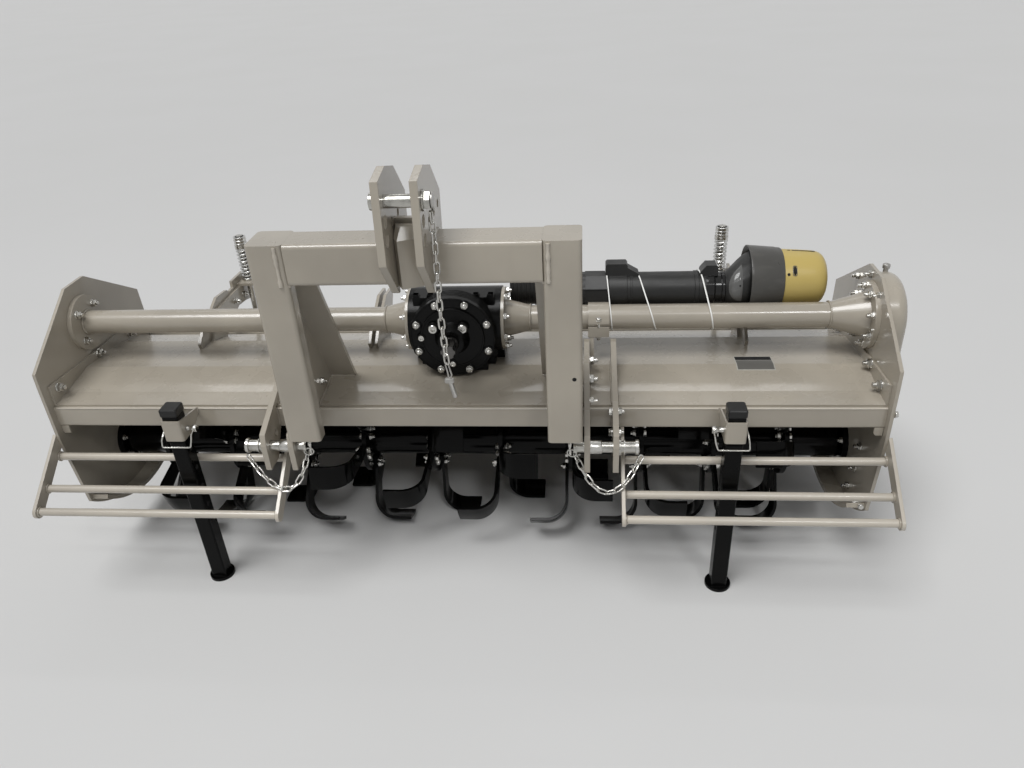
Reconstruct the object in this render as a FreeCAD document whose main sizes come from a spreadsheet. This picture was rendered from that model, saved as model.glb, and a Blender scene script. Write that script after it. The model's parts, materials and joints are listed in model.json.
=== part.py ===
import FreeCAD, Part
import math
import os
import types

import Sketcher

# Rotavator for a tractor's three-point linkage, standing on its two parking stands and its blades.
# X runs across the machine, Y from the headstock (front) to the tailboard (rear), Z up from the floor.
# The origin is under the middle of the whole machine. Millimetres and degrees.

os.makedirs("parts", exist_ok=True)
doc = FreeCAD.newDocument("Rotavator")

# name, value, what it measures
SIZES = (
    ("headx", -43.0, "middle of the headstock from the origin, across"),
    ("heady", -330.0, "front face of the headstock legs from the origin"),
    ("hoodoffset", 22.0, "middle of the hood, to the right of the headstock's middle"),
    ("hoodhalf", 985.0, "hood's middle to the inner face of a side plate"),
    ("sideplatethick", 8.0, "side plate"),
    ("decksheet", 5.0, "folded sheet of the hood"),
    ("beamfronty", 124.0, "front face of the hood's front beam, behind the headstock's front"),
    ("beamdepth", 60.0, "front beam, front to back"),
    ("beamlow", 420.0, "underside of the front beam"),
    ("beamheight", 53.0, "front beam, upright"),
    ("beamround", 6.0, "rounding of the front beam's long edges"),
    ("deckfrontz", 478.0, "top of the deck at its front fold"),
    ("deckriseone", 5.0, "rise of the deck over the front beam"),
    ("decktopy", 283.0, "highest fold of the deck"),
    ("decktopz", 500.0, "top of the deck at its highest fold"),
    ("deckmidy", 255.0, "fold in front of the highest one"),
    ("deckmidz", 495.0, "top of the deck at that fold"),
    ("deckbacky", 450.0, "fold behind the highest one"),
    ("deckbackz", 487.0, "top of the deck at the back fold"),
    ("deckslopey", 557.0, "last fold of the deck"),
    ("deckslopez", 454.0, "top of the deck at the last fold"),
    ("deckendy", 588.0, "rear edge of the deck"),
    ("deckendz", 438.0, "top of the deck at its rear edge"),
    ("decklip", 8.0, "front edge of the deck behind the beam's front"),
    ("flangerise", 28.0, "bolting flange at each end of the deck, above its rear folds"),
    ("flangetop", 20.0, "the same flange above the highest fold"),
    ("flangefront", 50.0, "the same flange above the front edge"),
    ("platetopz", 707.0, "top of a side plate"),
    ("platetopfront", 312.0, "front end of the side plate's top edge"),
    ("platetopback", 396.0, "rear end of the side plate's top edge"),
    ("plateshoulderz", 574.0, "front shoulder of a side plate"),
    ("platefronty", 108.0, "front edge of a side plate at its shoulder"),
    ("platerearz", 578.0, "rear shoulder of a side plate"),
    ("platereary", 607.0, "rear edge of a side plate at its shoulder"),
    ("platetoey", 127.0, "front bottom corner of a side plate"),
    ("platetoez", 180.0, "bottom corners of a side plate"),
    ("plateheely", 573.0, "rear bottom corner of a side plate"),
    ("platesweep", 324.0, "radius of a side plate's bottom edge"),
    ("skidwidth", 42.0, "skid shoe, across"),
    ("skidthick", 8.0, "skid shoe"),
    ("skidinset", 6.0, "end of a skid shoe, inside the corner of its side plate"),
    ("skidlift", 4.0, "skid shoe above the corners of its side plate"),
    ("tubey", 342.0, "cross tube's axis, behind the headstock's front"),
    ("tubez", 601.0, "cross tube's axis"),
    ("tuberadius", 30.15, "cross tube"),
    ("tubeflangeradius", 72.0, "flange of the left cross tube at the side plate"),
    ("tubeflangethick", 12.0, "flanges at the side plates"),
    ("endflangeradius", 82.0, "flange of the right cross tube at the gear case"),
    ("endconeradius", 54.0, "cone of the right cross tube at its flange"),
    ("endconelength", 82.0, "cone of the right cross tube at the side plate"),
    ("gearhalf", 112.0, "half width of the gearbox between its side flanges"),
    ("sideflangeradius", 77.0, "grey flanges on the sides of the gearbox"),
    ("sideflangethick", 8.0, "grey flanges on the sides of the gearbox"),
    ("sideconeradius", 47.0, "cones beside the gearbox"),
    ("sideconelength", 58.0, "cones beside the gearbox"),
    ("coverfronty", 236.0, "front face of the gearbox cover"),
    ("coverradius", 102.0, "gearbox cover"),
    ("noselip", 2.0, "round front of the housing inside the edge of its cover"),
    ("coverthick", 14.0, "gearbox cover"),
    ("ringradius", 77.0, "raised middle of the cover"),
    ("ringrise", 4.0, "raised middle of the cover"),
    ("nosedepth", 38.0, "round front of the housing behind its cover"),
    ("boxinset", 14.0, "square middle of the housing, inside its end flanges"),
    ("endringthick", 24.0, "black end flanges of the housing"),
    ("eyewide", 13.0, "lifting horn on the housing"),
    ("eyerise", 8.0, "lifting horn above the housing"),
    ("foottopz", 540.0, "top of the housing's foot on the deck"),
    ("footback", 400.0, "rear end of the housing's foot"),
    ("barrelradius", 80.0, "gearbox barrel along the cross tubes"),
    ("hubradius", 42.0, "shaft hub at the cover"),
    ("hubend", 31.0, "radius of the shaft hub's front end"),
    ("hublength", 24.0, "shaft hub in front of the cover"),
    ("inputradius", 17.45, "splined input shaft, 1 3/8 inch"),
    ("inputlength", 76.0, "splined input shaft in front of the cover"),
    ("splinedepth", 2.5, "splines of the input shaft"),
    ("splinewide", 8.6, "one spline of the input shaft"),
    ("splineback", 6.0, "end of the splines in front of the hub"),
    ("shaftfit", 0.05, "running fit of a turning shaft, on the radius"),
    ("casewidth", 50.0, "gear case, outside the right side plate"),
    ("casetopradius", 100.0, "upper end of the gear case"),
    ("caselowradius", 124.0, "lower end of the gear case"),
    ("caseround", 26.0, "rounding of the gear case's outer edge"),
    ("leghalf", 330.0, "headstock's middle to the outer face of a leg"),
    ("legwidth", 76.0, "headstock leg, across"),
    ("legdepth", 40.0, "headstock leg, front to back"),
    ("leglow", 462.0, "bottom of the headstock legs"),
    ("headbeamheight", 87.0, "headstock's top beam, upright"),
    ("headbeamdepth", 88.0, "headstock's top beam, front to back"),
    ("headround", 9.0, "rounding of the headstock's tubes"),
    ("gussetsidex", 302.0, "outer face of a gusset, from the headstock's middle"),
    ("gussetwidth", 70.0, "sloping web of a gusset"),
    ("gussetthick", 8.0, "gusset plate"),
    ("gussetlow", 470.0, "lowest point of a gusset on its leg"),
    ("webthick", 10.0, "sloping web, front to back"),
    ("toplinkgap", 56.0, "clear gap between the top-link plates"),
    ("toplinkthick", 15.0, "top-link plate"),
    ("toppiny", -38.0, "top-link pin, from the headstock's front"),
    ("toppinz", 1019.0, "top-link pin"),
    ("pinabovehead", 95.0, "top-link pin above the top of the headstock"),
    ("toplinktip", 13.0, "rear foot of a top-link plate above the underside of the top beam"),
    ("toplinktoe", 12.0, "front toe of a top-link plate below the top beam"),
    ("toplinklip", 8.0, "front toe of a top-link plate in front of the top beam"),
    ("toppinend", 12.0, "top-link pin outside a plate"),
    ("toppinradius", 12.7, "top-link pin, category 2"),
    ("pinfit", 0.3, "hole round a fixed pin, on the radius"),
    ("lowinner", 333.0, "inner face of the inner lower-link plate, from the headstock's middle"),
    ("lowthick", 13.0, "lower-link plate"),
    ("lowgap", 51.0, "clear gap between a pair of lower-link plates"),
    ("lowpiny", 50.0, "lower-link pin, behind the headstock's front"),
    ("lowpinz", 417.0, "lower-link pin"),
    ("lowpinradius", 14.0, "lower-link pin, category 2"),
    ("lowshankradius", 12.5, "shank of the lower-link pin in its plates"),
    ("lowpinout", 46.0, "lower-link pin outside its outer plate"),
    ("lowshankout", 16.0, "lower-link pin inside its inner plate"),
    ("lowcollar", 5.0, "collar of the lower-link pin on its outer plate"),
    ("lowringradius", 14.5, "ring on the inner end of the lower-link pin, which holds the chain"),
    ("lowringthick", 8.0, "ring on the inner end of the lower-link pin"),
    ("lowplatefront", 25.0, "front edge of a lower-link plate"),
    ("lowplatetoe", 75.0, "rear end of a lower-link plate's bottom edge"),
    ("lowplateback", 300.0, "rear end of a lower-link plate on the deck"),
    ("lowplatetop", 562.0, "top of a lower-link plate at its rear end"),
    ("clampx", 343.0, "inner face of a tube clamp, from the headstock's middle"),
    ("clampwidth", 51.0, "tube clamp, across"),
    ("clampdepth", 74.0, "tube clamp, front to back"),
    ("clampring", 6.0, "tube clamp round the tube"),
    ("clampbelow", 38.0, "tube clamp below the tube's axis"),
    ("strapinset", 4.0, "strap inside the side of its clamp"),
    ("strapthick", 10.0, "strap from a clamp down to the deck"),
    ("strapwide", 36.0, "strap along the deck"),
    ("standinset", 345.0, "parking stand from the nearer side plate"),
    ("standy", 57.0, "parking stand, behind the headstock's front"),
    ("standwide", 38.0, "square tube of a parking stand"),
    ("standtop", 517.0, "top of a parking stand"),
    ("standround", 4.0, "rounding of the stand's edges"),
    ("footradius", 31.0, "foot of a parking stand"),
    ("footthick", 8.0, "foot of a parking stand"),
    ("socketwall", 4.0, "wall of a stand's socket"),
    ("socketgap", 0.5, "stand inside its socket, each side"),
    ("socketlow", 438.0, "bottom of a stand's socket"),
    ("socketheight", 54.0, "stand's socket"),
    ("socketback", 38.0, "rear wall of a stand's socket, upright"),
    ("wingtop", 476.0, "top of a socket's side walls at the front beam"),
    ("winglow", 459.0, "bottom of a socket's side walls at the front beam"),
    ("standpinradius", 6.0, "pin of a parking stand"),
    ("standpinz", 460.0, "pin of a parking stand"),
    ("standpinout", 16.0, "pin of a stand, outside its socket"),
    ("guardlong", 598.0, "guard, from its outer arm to the inner face of its inner arm"),
    ("armthick", 8.0, "guard arm"),
    ("armhalf", 16.0, "half the width of a guard arm"),
    ("barradius", 9.5, "guard bar"),
    ("barhighy", 95.0, "highest guard bar"),
    ("barhighz", 349.0, "highest guard bar"),
    ("barmidy", 19.0, "middle guard bar"),
    ("barmidz", 307.0, "middle guard bar"),
    ("barlowy", -34.0, "lowest guard bar"),
    ("barlowz", 278.0, "lowest guard bar"),
    ("armrooty", 118.0, "root of a guard arm on the side plate"),
    ("armrootz", 392.0, "root of a guard arm on the side plate"),
    ("rotory", 360.0, "rotor's axis, behind the headstock's front"),
    ("bladeradius", 230.0, "rotor's axis to the tips of the blades"),
    ("rotortube", 45.0, "radius of the rotor's tube"),
    ("rotorgap", 22.0, "rotor's tube to a side plate"),
    ("stubradius", 25.0, "stub shaft at each end of the rotor"),
    ("bearingradius", 62.0, "bearing housing of the rotor on a side plate"),
    ("bearingthick", 14.0, "bearing housing of the rotor on a side plate"),
    ("flangecount", 10, "blade flanges on the rotor"),
    ("flangeinset", 160.0, "outermost blade flange from a side plate"),
    ("flangeradius", 92.0, "blade flange"),
    ("flangethick", 12.0, "blade flange"),
    ("bladethick", 8.0, "rotor blade"),
    ("bladereach", 100.0, "rotor blade beside its flange"),
    ("bladeroot", 58.0, "inner end of a blade from the rotor's axis"),
    ("bladebend", 50.0, "inner radius of a blade's bend"),
    ("hingey", 606.0, "tailboard's hinge"),
    ("hingez", 436.0, "tailboard's hinge"),
    ("hingeradius", 9.0, "tailboard's hinge pin"),
    ("hingewall", 4.0, "tailboard's hinge tube"),
    ("tailsheet", 5.0, "tailboard"),
    ("tailgap", 10.0, "tailboard inside a side plate"),
    ("tailkneey", 676.0, "upper bend of the tailboard"),
    ("tailkneez", 346.0, "upper bend of the tailboard"),
    ("taillowy", 702.0, "lower bend of the tailboard"),
    ("taillowz", 60.0, "lower bend of the tailboard"),
    ("tailendy", 722.0, "bottom edge of the tailboard"),
    ("tailendz", 30.0, "bottom edge of the tailboard"),
    ("strutinset", 293.0, "tailboard strut from the nearer side plate"),
    ("struty", 714.0, "tailboard strut where it passes its seat"),
    ("seatz", 552.0, "seat of a tailboard strut"),
    ("seatthick", 8.0, "seat of a tailboard strut"),
    ("eyez", 318.0, "eye of a tailboard strut"),
    ("strutrod", 9.0, "rod of a tailboard strut"),
    ("springradius", 18.5, "spring of a tailboard strut"),
    ("springwire", 5.5, "wire of the spring"),
    ("springtop", 660.0, "top of the spring"),
    ("springcup", 8.0, "washer on top of the spring"),
    ("strutnut", 17.0, "radius of the nut on a tailboard strut"),
    ("strutnuttop", 693.0, "top of that nut"),
    ("struttop", 697.0, "top of a tailboard strut"),
    ("seatgap", 0.3, "spring's washer over its seat"),
    ("lugspread", 12.0, "strut's middle to a lug of the tailboard"),
    ("lugthick", 6.0, "lug of the tailboard"),
    ("seathalf", 26.0, "half the width of a strut's seat"),
    ("seatfront", 34.0, "strut to the front edge of its seat"),
    ("seathole", 5.0, "hole of a seat round its rod, on the radius"),
    ("bracketthick", 8.0, "plate of a strut bracket"),
    ("bracketside", 16.0, "strut to the inner plate of its bracket"),
    ("bracketfoot", 395.0, "front foot of a bracket on the deck"),
    ("bracketback", 530.0, "rear end of a bracket on the deck"),
    ("midbracketx", 243.0, "middle bracket, left of the hood's middle"),
    ("midbracketgap", 10.0, "clear gap between the middle bracket's plates"),
    ("shaftz", 653.0, "drive shaft's axis"),
    ("guardradius", 42.0, "guard tube of the drive shaft"),
    ("guardz", 646.0, "axis of the guard tube, which rests against the tube clamps"),
    ("ribbedconelong", 50.0, "from the ribbed bell of the drive shaft to its guard tube"),
    ("ribbedradius", 56.0, "ribbed bell of the drive shaft beside the gearbox"),
    ("ribbedlong", 95.0, "ribbed bell of the drive shaft beside the gearbox"),
    ("ribbedgap", 8.0, "ribbed bell from the grey flange of the gearbox"),
    ("neckradius", 38.0, "neck of the drive shaft's big bell"),
    ("necklong", 50.0, "neck of the drive shaft's big bell"),
    ("bellconelong", 52.0, "cone of the big bell"),
    ("bellradius", 82.0, "big bell of the drive shaft"),
    ("belllong", 90.0, "big bell of the drive shaft"),
    ("bellstep", 6.0, "step between the cone and the big bell, on the radius"),
    ("capradius", 78.0, "end cap of the drive shaft"),
    ("caplong", 114.0, "end cap of the drive shaft"),
    ("capround", 20.0, "rounding of the end cap"),
    ("capinset", 71.0, "end cap from the right side plate"),
    ("endgap", 1.0, "turning shaft's end from what closes it"),
    ("linklong", 28.0, "chain link"),
    ("linkwide", 15.0, "chain link"),
    ("linkwire", 4.0, "bar of a chain link"),
    ("chaintopx", 56.0, "top-link chain, right of the headstock's middle"),
    ("chainlowy", 58.0, "lower chains, behind the headstock's front"),
    ("chainendz", 389.0, "upper ends of the lower chains"),
    ("chainlowz", 286.0, "lowest point of the lower chains"),
    ("linklap", 0.4, "one chain link into the next"),
)

for row, (name, value, note) in enumerate(SIZES, 1):
    if row == 1:
        sheet = doc.addObject("Spreadsheet::Sheet", "Sizes")
    sheet.set("A%d" % row, name)
    sheet.set("B%d" % row, str(value))
    sheet.set("C%d" % row, note)
    sheet.setAlias("B%d" % row, name)
doc.recompute()


class Size:
    """A number with the sheet's formula for it, so that sums of sizes stay bound to the sheet."""

    def __init__(self, number, formula):
        self.number = float(number)
        self.formula = formula

    def __float__(self):
        return self.number

    def __add__(self, other):
        return Size(self.number + float(other), "(%s + %s)" % (self.formula, formula(other)))

    def __radd__(self, other):
        return Size(float(other) + self.number, "(%s + %s)" % (formula(other), self.formula))

    def __sub__(self, other):
        return Size(self.number - float(other), "(%s - %s)" % (self.formula, formula(other)))

    def __rsub__(self, other):
        return Size(float(other) - self.number, "(%s - %s)" % (formula(other), self.formula))

    def __mul__(self, other):
        return Size(self.number * float(other), "(%s * %s)" % (self.formula, formula(other)))

    __rmul__ = __mul__

    def __truediv__(self, other):
        return Size(self.number / float(other), "(%s / %s)" % (self.formula, formula(other)))

    def __neg__(self):
        return Size(-self.number, "(0 - %s)" % self.formula)


def formula(value):
    return value.formula if isinstance(value, Size) else repr(float(value))


def root(value):
    return Size(math.sqrt(float(value)), "sqrt(%s)" % formula(value))


s = types.SimpleNamespace(**{name: Size(value, "Sizes." + name) for name, value, note in SIZES})

HEAD = s.headx
HOOD = s.headx + s.hoodoffset
LEFT, RIGHT = -1, 1
SIDES = (("left", LEFT), ("right", RIGHT))
ALONG = {
    "x": FreeCAD.Rotation(FreeCAD.Vector(0, 1, 0), 90),
    "y": FreeCAD.Rotation(FreeCAD.Vector(1, 0, 0), -90),
    "z": FreeCAD.Rotation(),
}
pieces = []


def behind(distance):
    """Y of a point that far behind the headstock's front."""
    return s.heady + distance


def bind(item, prop, value):
    if isinstance(value, Size):
        item.setExpression(prop, value.formula)
    else:
        setattr(item, prop, value)


def place(item, point, turn=None):
    item.Placement = FreeCAD.Placement(FreeCAD.Vector(*[float(v) for v in point]), turn or ALONG["z"])
    for key, value in zip("xyz", point):
        if isinstance(value, Size):
            item.setExpression("Placement.Base." + key, value.formula)
    return item


def box(name, low, high):
    item = doc.addObject("Part::Box", name)
    for prop, a, b in zip(("Length", "Width", "Height"), low, high):
        bind(item, prop, b - a)
    return place(item, low)


def rod(name, radius, start, length, along):
    item = doc.addObject("Part::Cylinder", name)
    bind(item, "Radius", radius)
    bind(item, "Height", length)
    return place(item, start, ALONG[along])


def cone(name, radius, end_radius, start, length, along="x"):
    item = doc.addObject("Part::Cone", name)
    bind(item, "Radius1", radius)
    bind(item, "Radius2", end_radius)
    bind(item, "Height", length)
    return place(item, start, ALONG[along])


def oblique(name, radius, start, end_radius, end):
    """A round body that narrows from one circle to another, both square to X."""
    rings = []
    for word, ring_radius, middle in (("start", radius, start), ("end", end_radius, end)):
        ring = doc.addObject("Part::Circle", name + "_" + word)
        bind(ring, "Radius", ring_radius)
        rings.append(place(ring, middle, ALONG["x"]))
    item = doc.addObject("Part::Loft", name)
    item.Sections = rings
    item.Solid = True
    return item


def fuse(name, *parts):
    item = doc.addObject("Part::MultiFuse", name)
    item.Shapes = list(parts)
    item.Refine = True
    return item


def cut(name, base, *tools):
    item = doc.addObject("Part::Cut", name)
    item.Base = base
    item.Tool = tools[0] if len(tools) == 1 else fuse(name + "_tools", *tools)
    return item


def group(name, *parts):
    item = doc.addObject("Part::Compound", name)
    item.Links = list(parts)
    return item


def rounded(name, base, radius, chosen):
    """Fillet the edges of base that chosen(edge) picks."""
    doc.recompute()
    item = doc.addObject("Part::Fillet", name)
    item.Base = base
    size = float(radius)
    item.Edges = [(n, size, size) for n, edge in enumerate(base.Shape.Edges, 1) if chosen(edge)]
    return item


def runs_along(axis):
    """Chooses the straight edges along one axis."""
    def chosen(edge):
        step = edge.Vertexes[-1].Point - edge.Vertexes[0].Point
        return step.Length > 1 and abs(getattr(step, axis)) > 0.999 * step.Length
    return chosen


def keep(item, node):
    item.Label = node
    pieces.append((node, item))
    return item


def draw(sketch, corners, holes=()):
    """A closed outline of (u, v) or (u, v, radius) corners, every one bound to the sheet. The radius
    bends the run from that corner to the next, round a centre on its left, or on its right if below 0.
    holes holds (u, v, radius) circles."""
    count = len(corners)
    starts = []
    for n, corner in enumerate(corners):
        a = FreeCAD.Vector(float(corner[0]), float(corner[1]), 0)
        after = corners[(n + 1) % count]
        b = FreeCAD.Vector(float(after[0]), float(after[1]), 0)
        if len(corner) == 2:
            sketch.addGeometry(Part.LineSegment(a, b))
            starts.append((1, 2))
            continue
        radius = abs(float(corner[2]))
        left = float(corner[2]) > 0
        chord = b - a
        normal = FreeCAD.Vector(-chord.y, chord.x, 0).normalize() * (1 if left else -1)
        depth = math.sqrt(max(radius * radius - chord.Length ** 2 / 4, 0))
        centre = (a + b) * 0.5 + normal * depth
        first, last = (a, b) if left else (b, a)
        angles = [math.atan2(p.y - centre.y, p.x - centre.x) for p in (first, last)]
        circle = Part.Circle(centre, FreeCAD.Vector(0, 0, 1), radius)
        sketch.addGeometry(Part.ArcOfCircle(circle, *angles))
        starts.append((1, 2) if left else (2, 1))
    for n, corner in enumerate(corners):
        start, end = starts[n]
        for kind, value in (("DistanceX", corner[0]), ("DistanceY", corner[1])):
            index = sketch.addConstraint(Sketcher.Constraint(kind, n, start, float(value)))
            if isinstance(value, Size):
                sketch.setExpression("Constraints[%d]" % index, value.formula)
        after = (n + 1) % count
        sketch.addConstraint(Sketcher.Constraint("Coincident", n, end, after, starts[after][0]))
        if len(corner) == 3:
            radius = abs(float(corner[2]))
            chord = [float(corners[after][k]) - float(corner[k]) for k in (0, 1)]
            if abs(math.hypot(*chord) - 2 * radius) < 0.001:
                k = 0 if abs(chord[1]) > abs(chord[0]) else 1
                middle = (corner[k] + corners[after][k]) / 2
                kind = ("DistanceX", "DistanceY")[k]
                index = sketch.addConstraint(Sketcher.Constraint(kind, n, 3, float(middle)))
                sketch.setExpression("Constraints[%d]" % index, formula(middle))
                continue
            index = sketch.addConstraint(Sketcher.Constraint("Radius", n, radius))
            if isinstance(corner[2], Size):
                text = corner[2].formula if float(corner[2]) > 0 else "(0 - %s)" % corner[2].formula
                sketch.setExpression("Constraints[%d]" % index, text)
    for u, v, radius in holes:
        centre = FreeCAD.Vector(float(u), float(v), 0)
        place_at = sketch.addGeometry(Part.Circle(centre, FreeCAD.Vector(0, 0, 1), float(radius)))
        for kind, value in (("DistanceX", u), ("DistanceY", v)):
            index = sketch.addConstraint(Sketcher.Constraint(kind, place_at, 3, float(value)))
            if isinstance(value, Size):
                sketch.setExpression("Constraints[%d]" % index, value.formula)
        index = sketch.addConstraint(Sketcher.Constraint("Radius", place_at, float(radius)))
        if isinstance(radius, Size):
            sketch.setExpression("Constraints[%d]" % index, radius.formula)


def plate(name, corners, x, thick, holes=()):
    """A plate that stands across X: its outline in Y and Z, from x on, thick wide."""
    body = doc.addObject("PartDesign::Body", name)
    sketch = body.newObject("Sketcher::SketchObject", name + "_outline")
    plane = [item for item in body.Origin.OriginFeatures if item.Role == "YZ_Plane"][0]
    sketch.AttachmentSupport = (plane, [""])
    sketch.MapMode = "FlatFace"
    draw(sketch, corners, holes)
    pad = body.newObject("PartDesign::Pad", name + "_pad")
    pad.Profile = sketch
    bind(pad, "Length", thick)
    return place(body, (x, 0, 0))


def beside(middle, side, distance, thick=0):
    """X of a piece's low side, that far out from a middle on one side, thick wide outwards."""
    return middle + distance if side == RIGHT else middle - distance - thick


# Hood: the folded deck, its end flanges and the front beam
beam_back = s.beamfronty + s.beamdepth
beam_top = s.beamlow + s.beamheight
deck_front = s.beamfronty + s.decklip
DECK = (
    (deck_front, s.deckfrontz),
    (beam_back, s.deckfrontz + s.deckriseone),
    (s.deckmidy, s.deckmidz),
    (s.decktopy, s.decktopz),
    (s.deckbacky, s.deckbackz),
    (s.deckslopey, s.deckslopez),
    (s.deckendy, s.deckendz),
)


def deck_z(distance):
    """Height of the deck's top, that far behind the headstock's front."""
    for (y, z), (next_y, next_z) in zip(DECK, DECK[1:]):
        if float(distance) <= float(next_y):
            return z + (next_z - z) * ((distance - y) / (next_y - y))


def deck_line(start, end):
    """The deck's top from start to end as an outline, each fold between them included."""
    folds = [(y, z) for y, z in DECK if float(start) < float(y) < float(end)]
    return [(behind(y), z) for y, z in [(start, deck_z(start))] + folds + [(end, deck_z(end))]]


hood_wide = s.hoodhalf * 2
upper = [(behind(y), z) for y, z in DECK]
lower = [(behind(y), z - s.decksheet) for y, z in DECK]
deck_sheet = plate("deck_sheet", upper + lower[::-1], HOOD - s.hoodhalf, hood_wide)
flange_outline = lower[:6] + [
    (behind(s.deckslopey), s.deckslopez + s.flangerise),
    (behind(s.deckbacky), s.deckbackz + s.flangerise),
    (behind(s.decktopy), s.decktopz + s.flangetop),
    (behind(deck_front), s.deckfrontz + s.flangefront),
]
deck_flanges = [
    plate("deck_flange_" + word, flange_outline,
          beside(HOOD, side, s.hoodhalf - s.decksheet, s.decksheet), s.decksheet)
    for word, side in SIDES
]
keep(fuse("hood_deck", deck_sheet, *deck_flanges), "hood_deck")

beam = box("front_beam_bar", (HOOD - s.hoodhalf, behind(s.beamfronty), s.beamlow),
           (HOOD + s.hoodhalf, behind(beam_back), beam_top))
keep(rounded("front_beam", beam, s.beamround, runs_along("x")), "hood_front_beam")

# Side plates with their skid shoes
PLATE = (
    (s.platetopfront, s.platetopz),
    (s.platefronty + 2, s.plateshoulderz),
    (s.platefronty, s.plateshoulderz - 34),
    (s.platefronty - 2, s.armrootz),
    (s.platetoey, s.platetoez, s.platesweep),
    (s.plateheely, s.platetoez),
    (s.platereary + 8, s.armrootz),
    (s.platereary, s.platerearz),
    (s.platetopback, s.platetopz),
)
plate_outline = [(behind(corner[0]),) + corner[1:] for corner in PLATE]
inner_sweep = s.platesweep - s.skidthick
shoe_low = s.platetoez + s.skidlift
shoe_rise = s.skidthick * 1.2
for word, side in SIDES:
    shoe = (
        (behind(s.platetoey) + s.skidinset, shoe_low, s.platesweep),
        (behind(s.plateheely) - s.skidinset, shoe_low),
        (behind(s.plateheely) - s.skidinset * 2, shoe_low + shoe_rise, -inner_sweep),
        (behind(s.platetoey) + s.skidinset * 2, shoe_low + shoe_rise),
    )
    keep(fuse(
        "side_plate_" + word,
        plate("plate_" + word, plate_outline, beside(HOOD, side, s.hoodhalf, s.sideplatethick),
              s.sideplatethick),
        plate("skid_" + word, shoe, beside(HOOD, side, s.hoodhalf - s.skidwidth, s.skidwidth),
              s.skidwidth),
    ), "side_plate_" + word)

# Cross tubes with their flanges and cones
tube_y = behind(s.tubey)
box_left = HOOD - s.gearhalf
box_right = HOOD + s.gearhalf
left_end = HOOD - s.hoodhalf
right_end = HOOD + s.hoodhalf
left_flange = box_left - s.sideflangethick
right_flange = box_right + s.sideflangethick
keep(fuse(
    "cross_tube_left",
    rod("left_tube", s.tuberadius, (left_end, tube_y, s.tubez), left_flange - left_end, "x"),
    rod("left_end_flange", s.tubeflangeradius, (left_end, tube_y, s.tubez), s.tubeflangethick, "x"),
    cone("left_cone", s.tuberadius + 2, s.sideconeradius,
         (left_flange - s.sideconelength, tube_y, s.tubez), s.sideconelength),
    rod("left_side_flange", s.sideflangeradius, (left_flange, tube_y, s.tubez), s.sideflangethick, "x"),
), "cross_tube_left")
keep(fuse(
    "cross_tube_right",
    rod("right_tube", s.tuberadius, (right_flange, tube_y, s.tubez), right_end - right_flange, "x"),
    rod("right_side_flange", s.sideflangeradius, (box_right, tube_y, s.tubez), s.sideflangethick, "x"),
    cone("right_cone", s.sideconeradius, s.tuberadius + 2, (right_flange, tube_y, s.tubez),
         s.sideconelength),
    cone("end_cone", s.tuberadius, s.endconeradius,
         (right_end - s.tubeflangethick - s.endconelength, tube_y, s.tubez), s.endconelength),
    rod("end_flange", s.endflangeradius, (right_end - s.tubeflangethick, tube_y, s.tubez),
        s.tubeflangethick, "x"),
), "cross_tube_right")

# Gearbox: cast housing, bolted front cover with the shaft's hub, and the splined input shaft
cover_y = behind(s.coverfronty)
cover_back = cover_y + s.coverthick
nose_back = cover_back + s.nosedepth
barrel_top = s.tubez + s.barrelradius
# left and right of the hood's middle, front edge behind the headstock's front
FOOT = (
    (-54, 76, 264),
    (-92, 92, 290),
    (-112, 112, 330),
)
# inner side of a lifting horn from the hood's middle
HORNS = (-96, -62, 49, 83)
housing_parts = [
    rod("housing_barrel", s.barrelradius, (box_left, tube_y, s.tubez), s.gearhalf * 2, "x"),
    rod("housing_nose", s.coverradius - s.noselip, (HOOD, cover_back, s.tubez), s.nosedepth, "y"),
    box("housing_block", (box_left + s.boxinset, nose_back, s.tubez - s.barrelradius),
        (box_right - s.boxinset, tube_y, barrel_top)),
    rod("housing_end_left", s.sideflangeradius, (box_left, tube_y, s.tubez), s.endringthick, "x"),
    rod("housing_end_right", s.sideflangeradius, (box_right - s.endringthick, tube_y, s.tubez),
        s.endringthick, "x"),
]
for n, (left, right, front) in enumerate(FOOT):
    sole = deck_line(Size(front, repr(float(front))), s.footback)
    top_edge = [(behind(s.footback), s.foottopz), (behind(front), s.foottopz)]
    housing_parts.append(plate("housing_foot_%d" % n, sole + top_edge, HOOD + left, right - left))
for n, x in enumerate(HORNS):
    housing_parts.append(box("housing_horn_%d" % n, (HOOD + x, nose_back, barrel_top - s.eyewide),
                             (HOOD + x + s.eyewide, nose_back + s.eyewide, barrel_top + s.eyerise)))
keep(fuse("gearbox_housing", *housing_parts), "gearbox_housing")
hub_start = cover_y - s.ringrise - s.hublength
cover = fuse(
    "cover_castings",
    rod("cover_disc", s.coverradius, (HOOD, cover_y, s.tubez), s.coverthick, "y"),
    rod("cover_ring", s.ringradius, (HOOD, cover_y - s.ringrise, s.tubez), s.ringrise, "y"),
    cone("cover_hub", s.hubend, s.hubradius, (HOOD, hub_start, s.tubez), s.hublength, "y"),
)
cover_bore = rod("cover_bore", s.inputradius + s.shaftfit, (HOOD, hub_start - 1, s.tubez),
                 cover_back - hub_start + 2, "y")
keep(cut("gearbox_front_cover", cover, cover_bore), "gearbox_front_cover")

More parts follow.
